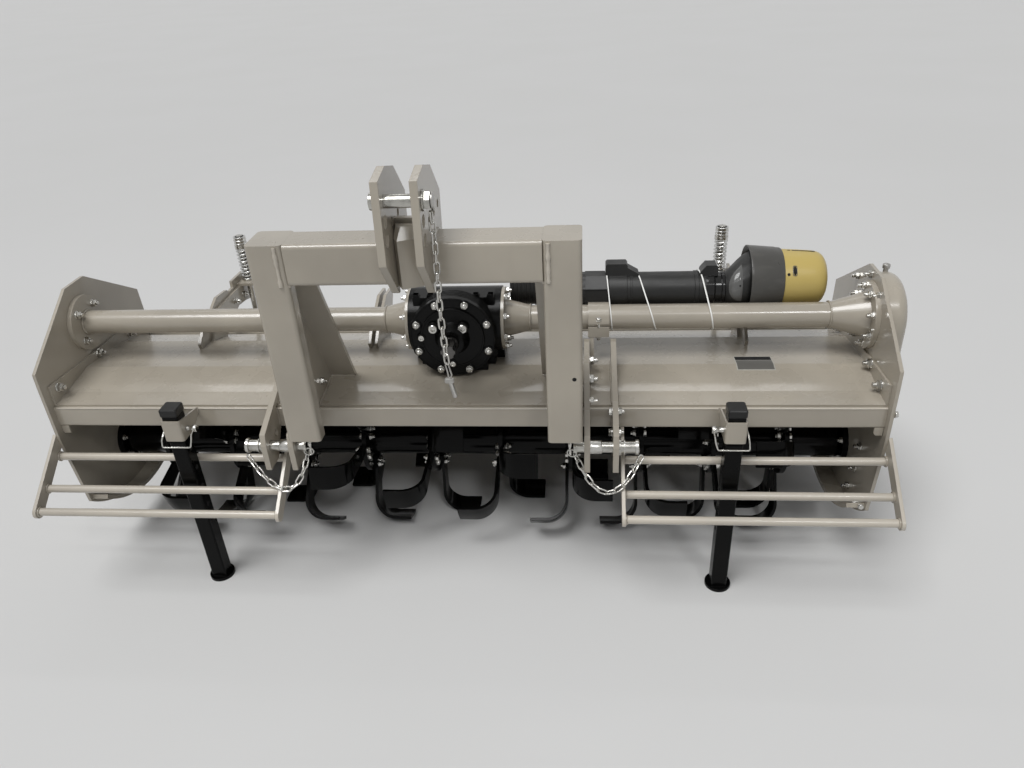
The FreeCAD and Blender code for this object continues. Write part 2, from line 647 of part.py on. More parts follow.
input_start = cover_y - s.inputlength
shank_start = hub_start - s.splineback
shank = rod("input_shank", s.inputradius, (HOOD, shank_start, s.tubez),
            cover_back - s.endgap - shank_start, "y")
spline_core = rod("spline_core", s.inputradius - s.splinedepth, (HOOD, input_start, s.tubez),
                  shank_start - input_start, "y")
splines = []
spline_reach = float(s.inputradius) * 0.975
for n in range(3):
    spline = doc.addObject("Part::Box", "spline_%d" % n)
    bind(spline, "Length", spline_reach * 2)
    bind(spline, "Width", s.splinewide)
    bind(spline, "Height", shank_start - input_start)
    turn = FreeCAD.Rotation(FreeCAD.Vector(0, 1, 0), 60 * n).multiply(ALONG["y"])
    offset = turn.multVec(FreeCAD.Vector(-spline_reach, -float(s.splinewide) / 2, 0))
    splines.append(place(spline, (HOOD + offset.x, input_start + offset.y, s.tubez + offset.z), turn))
keep(fuse("input_shaft", shank, spline_core, *splines), "input_shaft")

# Gear case outside the right side plate
case_x = right_end + s.sideplatethick
rotor_y = behind(s.rotory)
rotor_z = s.bladeradius
case_step_y = rotor_y - tube_y
case_step_z = rotor_z - s.tubez
case_length = root(case_step_y * case_step_y + case_step_z * case_step_z)
lean = (s.caselowradius - s.casetopradius) / case_length
flat = root(1 - lean * lean)
toward_y = case_step_y / case_length
toward_z = case_step_z / case_length


def case_tangent(y, z, radius, side):
    """Where a straight flank of the gear case meets the round end of that centre and radius."""
    return (y - radius * (lean * toward_y + side * flat * toward_z),
            z - radius * (lean * toward_z - side * flat * toward_y))


case_body = plate("case_body", (
    case_tangent(tube_y, s.tubez, s.casetopradius, 1) + (s.casetopradius,),
    case_tangent(tube_y, s.tubez, s.casetopradius, -1),
    case_tangent(rotor_y, rotor_z, s.caselowradius, -1) + (s.caselowradius,),
    (rotor_y, rotor_z - s.caselowradius, s.caselowradius),
    case_tangent(rotor_y, rotor_z, s.caselowradius, 1),
), case_x, s.casewidth)
outer_x = float(case_x + s.casewidth)
case_round = rounded("gear_case", case_body, s.caseround,
                     lambda edge: all(abs(v.Point.x - outer_x) < 0.01 for v in edge.Vertexes))
keep(case_round, "gear_case")

# Headstock: legs, top beam, gussets
head_top = s.toppinz - s.pinabovehead
head_low = head_top - s.headbeamheight
for word, side in SIDES:
    leg_x = beside(HEAD, side, s.leghalf - s.legwidth, s.legwidth)
    leg = fuse(
        "leg_bars_" + word,
        box("leg_" + word, (leg_x, behind(0), s.leglow),
            (leg_x + s.legwidth, behind(s.legdepth), head_top)),
        box("leg_top_" + word, (leg_x, behind(0), head_low),
            (leg_x + s.legwidth, behind(s.headbeamdepth), head_top)),
    )
    keep(rounded("headstock_leg_" + word, leg, s.headround, runs_along("z")), "headstock_leg_" + word)
half_beam = s.leghalf - s.legwidth
head_beam = box("head_beam_bar", (HEAD - half_beam, behind(0), head_low),
                (HEAD + half_beam, behind(s.headbeamdepth), head_top))
keep(rounded("headstock_top_beam", head_beam, s.headround, runs_along("x")), "headstock_top_beam")

gusset_side = (
    (behind(s.legdepth), head_low),
    (behind(s.headbeamdepth), head_low),
    (behind(s.deckmidy), s.deckmidz),
    (behind(beam_back), s.deckfrontz + s.deckriseone),
    (behind(deck_front), s.deckfrontz),
    (behind(s.beamfronty), s.deckfrontz),
    (behind(s.beamfronty), s.beamlow + s.beamround),
    (behind(s.legdepth), s.gussetlow),
)
gusset_web = (
    (behind(s.headbeamdepth), head_low),
    (behind(s.deckmidy), s.deckmidz),
    (behind(s.deckmidy - s.webthick), deck_z(s.deckmidy - s.webthick)),
    (behind(s.headbeamdepth - s.webthick), head_low),
)
for word, side in SIDES:
    inner = s.gussetsidex - s.gussetwidth
    keep(fuse(
        "headstock_gusset_" + word,
        plate("gusset_side_" + word, gusset_side,
              beside(HEAD, side, s.gussetsidex - s.gussetthick, s.gussetthick), s.gussetthick),
        plate("gusset_web_" + word, gusset_web, beside(HEAD, side, inner, s.gussetwidth),
              s.gussetwidth),
    ), "headstock_gusset_" + word)

# Top link: two plates over the top beam, a spacer between them, and the pin
# behind the headstock's front, above the pin
TOP_LINK = (
    (-65, 43),
    (0, 54),
    (66, 37),
    (140, -32),
    (128, -114),
)
top_link_outline = [(behind(y), s.toppinz + z) for y, z in TOP_LINK] + [
    (behind(s.headbeamdepth), head_low + s.toplinktip),
    (behind(s.headbeamdepth), head_top),
    (behind(0), head_top),
    (behind(0), head_low - s.toplinktoe),
    (behind(-s.toplinklip), head_low - s.toplinktoe),
    (behind(-80), s.toppinz - 111),
]
pin_hole = s.toppinradius + s.pinfit
# behind the top-link pin, above it, radius
LINK_HOLES = (
    (0, 0, pin_hole),
    (-9, -36, pin_hole),
    (-10, -72, pin_hole),
    (42, -52, 8.5),
    (96, -52, 8.5),
    (142, -50, 8.5),
)
top_link_holes = [(behind(s.toppiny + y), s.toppinz + z, radius) for y, z, radius in LINK_HOLES]
half_gap = s.toplinkgap / 2
for word, side in SIDES:
    keep(plate("top_link_plate_" + word, top_link_outline,
               beside(HEAD, side, half_gap, s.toplinkthick), s.toplinkthick, top_link_holes),
         "top_link_plate_" + word)
keep(box("top_link_spacer", (HEAD - half_gap, behind(22), head_top),
         (HEAD + half_gap, behind(34), head_top + 44)), "top_link_spacer")
link_out = half_gap + s.toplinkthick
pin_y = behind(s.toppiny)
keep(fuse(
    "top_link_pin",
    rod("top_pin", s.toppinradius, (HEAD - link_out - s.toppinend, pin_y, s.toppinz),
        (link_out + s.toppinend) * 2 + 6, "x"),
    rod("top_pin_head", s.toppinradius + 4, (HEAD - link_out - 10, pin_y, s.toppinz), 10, "x"),
    rod("top_pin_washer", s.toppinradius + 7, (HEAD + link_out, pin_y, s.toppinz), 5, "x"),
    rod("top_pin_nut", s.toppinradius + 5, (HEAD + link_out + 5, pin_y, s.toppinz), 9, "x"),
), "top_link_pin")

# Lower links: a pair of plates on each side of the headstock, with a stepped pin
# behind the plate's front edge, above the pin
LOW_LINK = (
    (0, -53),
    (0, 13),
    (7, 41),
)
low_bottom = s.lowpinz + LOW_LINK[0][1]
low_outline = [(behind(s.lowplatefront + y), s.lowpinz + z) for y, z in LOW_LINK] + [
    (behind(s.lowplateback - 15), s.lowplatetop),
    (behind(s.lowplateback), s.lowplatetop),
] + deck_line(deck_front, s.lowplateback)[::-1] + [
    (behind(s.beamfronty), s.deckfrontz),
    (behind(s.beamfronty), s.beamlow),
    (behind(s.lowplatetoe), low_bottom),
]
shank_hole = s.lowshankradius + s.pinfit
low_holes = (
    (behind(s.lowpiny), s.lowpinz, shank_hole),
    (behind(s.lowpiny + 44), s.lowpinz + 8, 9),
)
low_outer = s.lowinner + s.lowthick + s.lowgap
low_out = low_outer + s.lowthick
low_y = behind(s.lowpiny)
for word, side in SIDES:
    keep(group(
        "lower_link_plates_" + word,
        plate("low_inner_" + word, low_outline, beside(HEAD, side, s.lowinner, s.lowthick),
              s.lowthick, low_holes),
        plate("low_outer_" + word, low_outline, beside(HEAD, side, low_outer, s.lowthick),
              s.lowthick, low_holes),
    ), "lower_link_plates_" + word)
    shank_long = low_out - s.lowinner + s.lowshankout
    keep(fuse(
        "lower_link_pin_" + word,
        rod("low_shank_" + word, s.lowshankradius,
            (beside(HEAD, side, s.lowinner - s.lowshankout, shank_long), low_y, s.lowpinz),
            shank_long, "x"),
        rod("low_ring_" + word, s.lowringradius,
            (beside(HEAD, side, s.lowinner - s.lowshankout - s.lowringthick, s.lowringthick), low_y,
             s.lowpinz), s.lowringthick, "x"),
        rod("low_collar_" + word, s.lowpinradius + 5,
            (beside(HEAD, side, low_out, s.lowcollar), low_y, s.lowpinz), s.lowcollar, "x"),
        rod("low_pin_" + word, s.lowpinradius,
            (beside(HEAD, side, low_out, s.lowpinout), low_y, s.lowpinz), s.lowpinout, "x"),
    ), "lower_link_pin_" + word)

# Clamps that tie the lower-link plates to the cross tube
clamp_front = tube_y - s.clampdepth / 2
clamp_low = s.tubez - s.clampbelow
strap_back = s.decktopy + s.strapwide
clamps = []
for word, side in SIDES:
    x = beside(HEAD, side, s.clampx, s.clampwidth)
    ring = rod("clamp_ring_" + word, s.tuberadius + s.clampring, (x, tube_y, s.tubez), s.clampwidth,
               "x")
    block = box("clamp_block_" + word, (x, clamp_front, clamp_low),
                (x + s.clampwidth, tube_y, s.tubez))
    bore = rod("clamp_bore_" + word, s.tuberadius, (x - 1, tube_y, s.tubez), s.clampwidth + 2, "x")
    strap = plate("clamp_strap_" + word, [
        (clamp_front, clamp_low),
        (clamp_front + s.strapwide, clamp_low),
    ] + deck_line(s.decktopy, strap_back)[::-1],
        beside(HEAD, side, s.clampx + s.strapinset, s.strapthick), s.strapthick)
    solid = fuse("clamp_solid_" + word, ring, block)
    clamps.append(fuse("clamp_" + word, cut("clamp_body_" + word, solid, bore), strap))
keep(group("tube_clamps", *clamps), "tube_clamps")

# Parking stands, their sockets on the front beam and their pins
half_stand = s.standwide / 2
half_socket = half_stand + s.socketgap + s.socketwall
half_bore = half_stand + s.socketgap
stand_y = behind(s.standy)
socket_top = s.socketlow + s.socketheight
wing = (
    (stand_y - half_socket, s.socketlow),
    (stand_y - half_socket, socket_top),
    (behind(s.beamfronty), s.wingtop),
    (behind(s.beamfronty), s.winglow),
    (stand_y + half_socket, s.socketlow),
)
for word, side in SIDES:
    x = HOOD + (s.hoodhalf - s.standinset) * side
    keep(fuse(
        "stand_socket_" + word,
        box("socket_front_" + word, (x - half_socket, stand_y - half_socket, s.socketlow),
            (x + half_socket, stand_y - half_bore, socket_top)),
        box("socket_back_" + word, (x - half_socket, stand_y + half_bore, s.socketlow),
            (x + half_socket, stand_y + half_socket, s.socketlow + s.socketback)),
        plate("socket_wing_left_" + word, wing, x - half_socket, s.socketwall),
        plate("socket_wing_right_" + word, wing, x + half_bore, s.socketwall),
        rod("stand_pin_" + word, s.standpinradius, (x + half_bore, stand_y, s.standpinz),
            s.socketwall + s.standpinout, "x"),
        rod("stand_pin_head_" + word, s.standpinradius + 3,
            (x + half_socket + s.standpinout - 4, stand_y, s.standpinz), 4, "x"),
    ), "stand_socket_" + word)
    post = box("stand_post_" + word, (x - half_stand, stand_y - half_stand, s.footthick),
               (x + half_stand, stand_y + half_stand, s.standtop))
    post_round = rounded("stand_tube_" + word, post, s.standround, runs_along("z"))
    foot = rod("stand_foot_" + word, s.footradius, (x, stand_y, 0), s.footthick, "z")
    keep(fuse("stand_" + word, post_round, foot), "stand_" + word)

# Front guards: flat arms with three round bars on each side
arm_step_y = s.armrooty - s.barlowy
arm_step_z = s.armrootz - s.barlowz
arm_length = root(arm_step_y * arm_step_y + arm_step_z * arm_step_z)
across_y = s.armhalf * arm_step_z / arm_length
across_z = s.armhalf * arm_step_y / arm_length
arm_outline = (
    (behind(s.armrooty) - across_y, s.armrootz + across_z),
    (behind(s.barlowy) - across_y, s.barlowz + across_z, s.armhalf),
    (behind(s.barlowy) + across_y, s.barlowz - across_z),
    (behind(s.armrooty) + across_y, s.armrootz - across_z),
)
BARS = (
    (s.barhighy, s.barhighz),
    (s.barmidy, s.barmidz),
    (s.barlowy, s.barlowz),
)
outer_arm = s.hoodhalf + s.sideplatethick
inner_arm = outer_arm - s.guardlong
bar_length = s.guardlong - s.armthick
arm_run = arm_step_y / arm_step_z
inner_outline = (
    (behind(s.armrooty) - across_y + (s.beamlow - s.armrootz - across_z) * arm_run, s.beamlow),
    (behind(s.barlowy) - across_y, s.barlowz + across_z, s.armhalf),
    (behind(s.barlowy) + across_y, s.barlowz - across_z),
    (behind(s.armrooty) + across_y + (s.beamlow - s.armrootz + across_z) * arm_run, s.beamlow),
)
for word, side in SIDES:
    keep(fuse(
        "guard_" + word,
        plate("guard_outer_" + word, arm_outline, beside(HOOD, side, outer_arm, s.armthick),
              s.armthick),
        plate("guard_inner_" + word, inner_outline, beside(HOOD, side, inner_arm, s.armthick),
              s.armthick),
        *[rod("guard_bar_%s_%d" % (word, n), s.barradius,
              (beside(HOOD, side, inner_arm + s.armthick, bar_length), behind(y), z), bar_length, "x")
          for n, (y, z) in enumerate(BARS)],
    ), "guard_" + word)

# Rotor: tube with stub shafts, flanges and blades, and its bearings on the side plates
rotor_left = left_end + s.rotorgap
rotor_long = (s.hoodhalf - s.rotorgap) * 2
stub_long = (s.hoodhalf - s.endgap) * 2
count = int(float(s.flangecount))
flange_step = (s.hoodhalf - s.flangeinset) * 2 / (count - 1)
flange_xs = [left_end + s.flangeinset + flange_step * n for n in range(count)]
rotor_parts = [
    rod("rotor_tube", s.rotortube, (rotor_left, rotor_y, rotor_z), rotor_long, "x"),
    rod("rotor_stub", s.stubradius, (left_end + s.endgap, rotor_y, rotor_z), stub_long, "x"),
]
for n, x in enumerate(flange_xs):
    rotor_parts.append(rod("rotor_flange_%d" % n, s.flangeradius,
                           (x - s.flangethick / 2, rotor_y, rotor_z), s.flangethick, "x"))
bearings = []
for word, side in SIDES:
    start = beside(HOOD, side, s.hoodhalf - s.bearingthick, s.bearingthick)
    bearings.append(cut(
        "bearing_" + word,
        rod("bearing_ring_" + word, s.bearingradius, (start, rotor_y, rotor_z), s.bearingthick, "x"),
        rod("bearing_bore_" + word, s.stubradius + s.shaftfit, (start - 1, rotor_y, rotor_z),
            s.bearingthick + 2, "x"),
    ))
keep(group("rotor_bearings", *bearings), "rotor_bearings")

# Blades: angles in degrees about the rotor's axis, from the middle of a blade's end
BLADE_LEAD, BLADE_TRAIL = -8.0, 8.0
ROOT_LEAD, ROOT_TRAIL = -8.0, 24.0
BLADES_PER_SIDE = 3
START_ANGLE = {LEFT: 2.5, RIGHT: 79.0}
FLANGE_TURN = 17.0
END_TURN = 14.0
SHANK_LAP = 12.0


def spot(radius, degrees):
    """A point that far from the X axis, turned that much from +Y."""
    turned = math.radians(degrees)
    return FreeCAD.Vector(0, radius * math.cos(turned), radius * math.sin(turned))


def blade(face_x, side, angle):
    """One L-shaped blade on a flange's face: a flat shank that sweeps back, bent over sideways."""
    thick = float(s.bladethick)
    tip = float(s.bladeradius)
    inner = float(s.bladebend)
    reach = float(s.bladereach)
    base = float(s.bladeroot)
    outer = inner + thick
    centre = tip - outer
    shank_end = centre - SHANK_LAP
    diagonal = math.sqrt(0.5)
    shank = Part.Face(Part.makePolygon([
        spot(base, ROOT_LEAD),
        spot(base, ROOT_TRAIL),
        spot(shank_end + SHANK_LAP / 2, BLADE_TRAIL),
        spot(shank_end + SHANK_LAP / 2, BLADE_LEAD),
        spot(base, ROOT_LEAD),
    ])).extrude(FreeCAD.Vector(thick * side, 0, 0))
    section = Part.Wire([
        Part.makeLine((0, shank_end, 0), (0, centre, 0)),
        Part.Arc(FreeCAD.Vector(0, centre, 0),
                 FreeCAD.Vector(side * outer * (1 - diagonal), centre + outer * diagonal, 0),
                 FreeCAD.Vector(side * outer, tip, 0)).toShape(),
        Part.makeLine((side * outer, tip, 0), (side * reach, tip, 0)),
        Part.makeLine((side * reach, tip, 0), (side * reach, tip - thick, 0)),
        Part.makeLine((side * reach, tip - thick, 0), (side * outer, tip - thick, 0)),
        Part.Arc(FreeCAD.Vector(side * outer, tip - thick, 0),
                 FreeCAD.Vector(side * (outer - inner * diagonal), centre + inner * diagonal, 0),
                 FreeCAD.Vector(side * thick, centre, 0)).toShape(),
        Part.makeLine((side * thick, centre, 0), (side * thick, shank_end, 0)),
        Part.makeLine((side * thick, shank_end, 0), (0, shank_end, 0)),
    ])
    turn_axis = FreeCAD.Vector(1, 0, 0)
    hook = Part.Face(section).revolve(FreeCAD.Vector(), turn_axis, BLADE_TRAIL - BLADE_LEAD)
    hook.rotate(FreeCAD.Vector(), turn_axis, BLADE_LEAD)
    whole = shank.fuse(hook).removeSplitter()
    whole.rotate(FreeCAD.Vector(), turn_axis, angle)
    whole.translate(FreeCAD.Vector(face_x, float(rotor_y), float(rotor_z)))
    return whole.Solids[0]


half_flange = float(s.flangethick) / 2
for n, x in enumerate(flange_xs):
    for word, side in SIDES:
        outwards = (n == 0 and side == LEFT) or (n == count - 1 and side == RIGHT)
        angle = START_ANGLE[side] + FLANGE_TURN * n + (END_TURN * side if outwards else 0.0)
        points_to = -side if outwards else side
        for k in range(BLADES_PER_SIDE):
            blade_item = doc.addObject("Part::Feature", "blade_%d_%s_%d" % (n, word, k))
            blade_item.Shape = blade(float(x) + points_to * half_flange, points_to,
                                     angle + 360.0 / BLADES_PER_SIDE * k)
            rotor_parts.append(blade_item)
keep(fuse("rotor", *rotor_parts), "rotor")

# Tailboard: a bent sheet hung from a long hinge, with a lug for each strut
hinge_outer = s.hingeradius + s.hingewall
hinge_y = behind(s.hingey)
tail_half = s.hoodhalf - s.tailgap
TAIL = (
    (s.hingey + 6, s.hingez - s.hingeradius - 1),
    (s.tailkneey, s.tailkneez),
    (s.taillowy, s.taillowz),
    (s.tailendy, s.tailendz),
)
tail_out = [(behind(y) + s.tailsheet, z) for y, z in TAIL]
tail_in = [(behind(y), z) for y, z in TAIL]
tail_sheet = plate("tail_sheet", tail_in + tail_out[::-1], HOOD - tail_half, tail_half * 2)
tail_tube = cut("tail_tube",
                rod("tail_tube_outer", hinge_outer, (HOOD - tail_half, hinge_y, s.hingez),
                    tail_half * 2, "x"),
                rod("tail_tube_bore", s.hingeradius + s.shaftfit,
                    (HOOD - tail_half - 1, hinge_y, s.hingez), tail_half * 2 + 2, "x"))
strut_y = behind(s.struty)
lugs = []
for word, side in SIDES:
    x = HOOD + (s.hoodhalf - s.strutinset) * side
    for n, lug_side in enumerate((LEFT, RIGHT)):
        lugs.append(plate("lug_%s_%d" % (word, n), (
            (behind(s.tailkneey + 3), s.eyez + 24),
            (behind(s.tailkneey + 7), s.eyez - 34),
            (strut_y + 14, s.eyez - 22),
            (strut_y + 22, s.eyez - 8),
            (strut_y + 22, s.eyez + 14),
            (strut_y + 10, s.eyez + 22),
        ), beside(x, lug_side, s.lugspread, s.lugthick), s.lugthick,
            ((strut_y, s.eyez, s.strutrod + s.pinfit),)))
keep(fuse("tailboard", tail_sheet, tail_tube, *lugs), "tailboard")
keep(rod("tailboard_hinge_pin", s.hingeradius, (left_end, hinge_y, s.hingez), s.hoodhalf * 2, "x"),
     "tailboard_hinge_pin")

# Struts: a rod with a spring on it, hung in the tailboard's lugs, through a seat on a deck bracket
spring_low = s.seatz + s.seatthick + s.seatgap
washer_thick = 4
spring_start = spring_low + washer_thick
eye_half = s.lugspread - s.endgap
pin_half = s.lugspread + s.lugthick + 8
foot_z = deck_z(s.bracketfoot)
# the upper edge of a bracket from its front foot: behind it, above the deck there
BRACKET_FRONT = (
    (0, 0),
    (-5, 14),
    (26, 38),
    (108, 71),
)
# the rest of it: behind the front foot, above the seat's underside
BRACKET_BACK = (
    (145, 26),
    (211, 19),
)
bracket_top = [(behind(s.bracketfoot + y), foot_z + z) for y, z in BRACKET_FRONT] + [
    (behind(s.bracketfoot + y), s.seatz + z) for y, z in BRACKET_BACK]
bracket_sole = deck_line(s.bracketfoot, s.bracketback)[:0:-1]
seat_top = s.seatz + s.seatthick
outer_outline = bracket_top + [
    (strut_y - s.seatfront - 60, seat_top),
    (strut_y - s.seatfront - 30, seat_top),
    (strut_y - s.seatfront - 28, seat_top + 19),
    (strut_y + s.seathalf - 5, seat_top + 17),
    (strut_y + s.seathalf, s.seatz),
    (strut_y + s.seathalf, s.seatz - 22),
] + bracket_sole
inner_arm_outline = [
    (behind(s.bracketback - 11), s.seatz),
    (strut_y + s.seathalf, s.seatz),
    (strut_y + s.seathalf, s.seatz - 64),
    (strut_y - s.seatfront / 2, s.seatz - 53),
    (strut_y - s.seatfront * 2, s.seatz - 47),
] + deck_line(s.deckbacky, s.bracketback)[::-1]
for word, side in SIDES:
    x = HOOD + (s.hoodhalf - s.strutinset) * side
    keep(fuse(
        "strut_" + word,
        rod("strut_rod_" + word, s.strutrod, (x, strut_y, s.eyez), s.struttop - s.eyez, "z"),
        rod("strut_eye_" + word, s.strutrod + 7, (x - eye_half, strut_y, s.eyez), eye_half * 2, "x"),
        rod("strut_pin_" + word, s.strutrod, (x - pin_half, strut_y, s.eyez), pin_half * 2, "x"),
        rod("strut_cup_" + word, s.springradius, (x, strut_y, s.springtop), s.springcup, "z"),
        rod("strut_nut_" + word, s.strutnut, (x, strut_y, s.springtop), s.strutnuttop - s.springtop,
            "z"),
        rod("strut_washer_" + word, s.springradius, (x, strut_y, spring_low), washer_thick, "z"),
    ), "strut_" + word)
    keep(cut(
        "strut_spring_" + word,
        rod("coil_outer_" + word, s.springradius, (x, strut_y, spring_start),
            s.springtop - spring_start, "z"),
        rod("coil_bore_" + word, s.springradius - s.springwire, (x, strut_y, spring_start - 1),
            s.springtop - spring_start + 2, "z"),
    ), "strut_spring_" + word)
    seat = box("seat_plate_" + word,
               (beside(x, side, -s.seathalf, s.seathalf + s.bracketside + s.bracketthick),
                strut_y - s.seatfront, s.seatz),
               (beside(x, side, -s.seathalf, s.seathalf + s.bracketside + s.bracketthick)
                + s.seathalf + s.bracketside + s.bracketthick, strut_y + s.seathalf, seat_top))
    seat_hole = rod("seat_hole_" + word, s.strutrod + s.seathole, (x, strut_y, s.seatz - 1),
                    s.seatthick + 2, "z")
    keep(fuse(
        "strut_bracket_" + word,
        plate("bracket_inner_" + word, inner_arm_outline,
              beside(x, side, s.bracketside, s.bracketthick), s.bracketthick),
        plate("bracket_outer_" + word, outer_outline,
              beside(x, side, s.bracketside + s.bracketthick, s.bracketthick), s.bracketthick),
        cut("seat_" + word, seat, seat_hole),
    ), "strut_bracket_" + word)
mid_outline = bracket_top + [(behind(s.bracketback + 80), s.seatz - 6)] + bracket_sole
half_mid = s.midbracketgap / 2
keep(group("mid_bracket", *[
    plate("mid_bracket_" + word, mid_outline,
          beside(HOOD - s.midbracketx, side, half_mid, s.bracketthick), s.bracketthick)
    for word, side in SIDES
]), "mid_bracket")

# Drive shaft, carried along behind the right cross tube
drop = s.shaftz - s.tubez
reach = s.bellradius + s.tuberadius
shaft_y = tube_y + root(reach * reach - drop * drop)
guard_drop = s.guardz - s.tubez
guard_reach = s.guardradius + s.tuberadius + s.clampring
guard_y = tube_y + root(guard_reach * guard_reach - guard_drop * guard_drop)
ribbed_start = right_flange + s.ribbedgap
cap_start = right_end - s.capinset - s.caplong
bell_start = cap_start - s.belllong
bell_cone = bell_start - s.bellconelong
neck_start = bell_cone - s.necklong
ribbed_end = ribbed_start + s.ribbedlong
tube_start = ribbed_end + s.ribbedconelong
keep(fuse(
    "drive_shaft_guard",
    rod("guard_tube", s.guardradius, (tube_start, guard_y, s.guardz), neck_start - tube_start, "x"),
    rod("guard_ribbed", s.ribbedradius, (ribbed_start, shaft_y, s.shaftz), s.ribbedlong, "x"),
    oblique("guard_cone", s.ribbedradius, (ribbed_end, shaft_y, s.shaftz),
            s.guardradius, (tube_start, guard_y, s.guardz)),
), "drive_shaft_guard")
keep(fuse(
    "drive_shaft_bell",
    rod("bell_neck", s.neckradius, (neck_start, guard_y, s.guardz), s.necklong, "x"),
    oblique("bell_cone", s.neckradius, (bell_cone, guard_y, s.guardz),
            s.bellradius - s.bellstep, (bell_start, shaft_y, s.shaftz)),
    rod("bell_sleeve", s.bellradius, (bell_start, shaft_y, s.shaftz), s.belllong, "x"),
), "drive_shaft_bell")
cap_body = rod("cap_body", s.capradius, (cap_start, shaft_y, s.shaftz), s.caplong, "x")
keep(rounded("drive_shaft_cap", cap_body, s.capround,
             lambda edge: edge.Vertexes[0].Point.x > float(cap_start) + 1), "drive_shaft_cap")


# Chains: links in turn upright and across, each end bar against the next one
def link(middle, along, flat):
    """One link round a point: its length along one direction, its width along flat."""
    half_long, half_wide = float(s.linklong) / 2, float(s.linkwide) / 2
    bar = float(s.linkwire)

    def ring(length, width, corner):
        spots = ((length - corner, -width), (length, corner - width), (length, width - corner),
                 (length - corner, width), (corner - length, width), (-length, width - corner),
                 (-length, corner - width), (corner - length, -width))
        points = [middle + along * a + flat * b for a, b in spots]
        return Part.makePolygon(points + points[:1])

    through = along.cross(flat) * bar
    outer = Part.Face(ring(half_long, half_wide, bar)).extrude(through)
    hole = Part.Face(ring(half_long - bar, half_wide - bar, bar / 2)).extrude(through)
    whole = outer.cut(hole)
    whole.translate(through * -0.5)
    return whole


def chain(points):
    """Links whose middles stand at the points, turned in turn."""
    links = []
    for n, middle in enumerate(points):
        before, after = points[max(n - 1, 0)], points[min(n + 1, len(points) - 1)]
        along = (after - before).normalize()
        side_on = along.cross(FreeCAD.Vector(0, 1, 0)).normalize()
        flat = side_on if n % 2 else along.cross(side_on)
        links.append(link(middle, along, flat))
    return links[0].multiFuse(links[1:])


CHAIN_LINKS = 14
pitch = float(s.linklong - s.linkwire * 2 - s.linklap)
hang_top = s.toppinz - s.toppinradius - 5 - s.pinfit - s.linklong / 2
top_points = [FreeCAD.Vector(float(HEAD + s.chaintopx), float(pin_y), float(hang_top) - pitch * n)
              for n in range(CHAIN_LINKS + 1)]
top_chain = doc.addObject("Part::Feature", "top_link_chain")
top_chain.Shape = chain(top_points)
keep(top_chain, "top_link_chain")

# inner and outer end from the headstock's middle, side
LOW_CHAINS = (
    (315, 461, LEFT),
    (315, 461, RIGHT),
)
low_shapes = []
for inner, outer, side in LOW_CHAINS:
    middle, half = (inner + outer) / 2, (outer - inner) / 2
    sag = float(s.chainendz - s.chainlowz)
    curve = [FreeCAD.Vector(float(HEAD) + side * (middle + half * t), float(behind(s.chainlowy)),
                            float(s.chainlowz) + sag * t * t)
             for t in [k / 200 - 1 for k in range(401)]]
    chosen = [curve[0]]
    for point in curve:
        if (point - chosen[-1]).Length >= pitch:
            chosen.append(point)
    low_shapes.append(chain(chosen))
low_chains = doc.addObject("Part::Feature", "lower_link_chains")
low_chains.Shape = Part.makeCompound(low_shapes)
keep(low_chains, "lower_link_chains")

# Check every object, then write one file for each piece
doc.recompute()
whole = Part.makeCompound([item.Shape for node, item in pieces]).optimalBoundingBox(False)
print("X %.1f to %.1f, Y %.1f to %.1f, Z %.1f to %.1f" % (
    whole.XMin, whole.XMax, whole.YMin, whole.YMax, whole.ZMin, whole.ZMax))
for item in doc.Objects:
    if "Invalid" in item.State or "Error" in item.State:
        raise RuntimeError("%s failed: %s" % (item.Name, item.State))
for node, item in pieces:
    if item.Shape.isNull() or not item.Shape.isValid() or not item.Shape.Solids:
        raise RuntimeError("%s has no sound solid" % node)
for node, item in pieces:
    item.Shape.exportStep("parts/%s.step" % node)
print("%d pieces written" % len(pieces))
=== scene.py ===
import json
import math
import random

import bmesh
import bpy
from mathutils import Matrix, Vector


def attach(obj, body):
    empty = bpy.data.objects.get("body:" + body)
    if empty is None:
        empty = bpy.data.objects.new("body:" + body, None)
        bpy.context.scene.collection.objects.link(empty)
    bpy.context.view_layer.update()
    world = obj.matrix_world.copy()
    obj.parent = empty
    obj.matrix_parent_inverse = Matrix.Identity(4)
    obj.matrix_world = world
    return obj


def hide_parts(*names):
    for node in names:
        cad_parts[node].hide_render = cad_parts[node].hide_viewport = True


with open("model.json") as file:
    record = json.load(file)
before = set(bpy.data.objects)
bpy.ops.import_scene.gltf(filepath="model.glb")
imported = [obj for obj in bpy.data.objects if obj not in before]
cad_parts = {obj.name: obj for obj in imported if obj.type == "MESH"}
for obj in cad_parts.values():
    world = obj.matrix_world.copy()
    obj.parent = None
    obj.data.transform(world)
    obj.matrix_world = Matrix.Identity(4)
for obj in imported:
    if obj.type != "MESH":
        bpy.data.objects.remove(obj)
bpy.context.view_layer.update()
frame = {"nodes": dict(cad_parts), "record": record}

# Places are in millimetres from the headstock's front, its middle and the floor:
# X to the gear case, Y to the tailboard, Z up. This is the model's origin in them.
ORIGIN = (43.0, 330.0, 0.0)
HOOD = 22.0                         # middle of the hood
HALF = 985.0                        # from there to the inner face of a side plate
PLATE_THICK = 8
TUBE_Y, TUBE_Z = 342.0, 601.0       # axis of the cross tube
ROTOR_Y, ROTOR_Z = 360.0, 230.0     # axis of the rotor
SHAFT_Y, SHAFT_Z = 441.6, 653.0     # axis of the drive shaft's bells
GUARD_Y, GUARD_Z = 406.0, 646.0     # axis of the drive shaft's guard tube
STRUT_REACH, STRUT_Y = 692, 714.0   # struts from the hood's middle, and their place
STAND_REACH, STAND_Y = 640, 57      # stands from the hood's middle, and their place
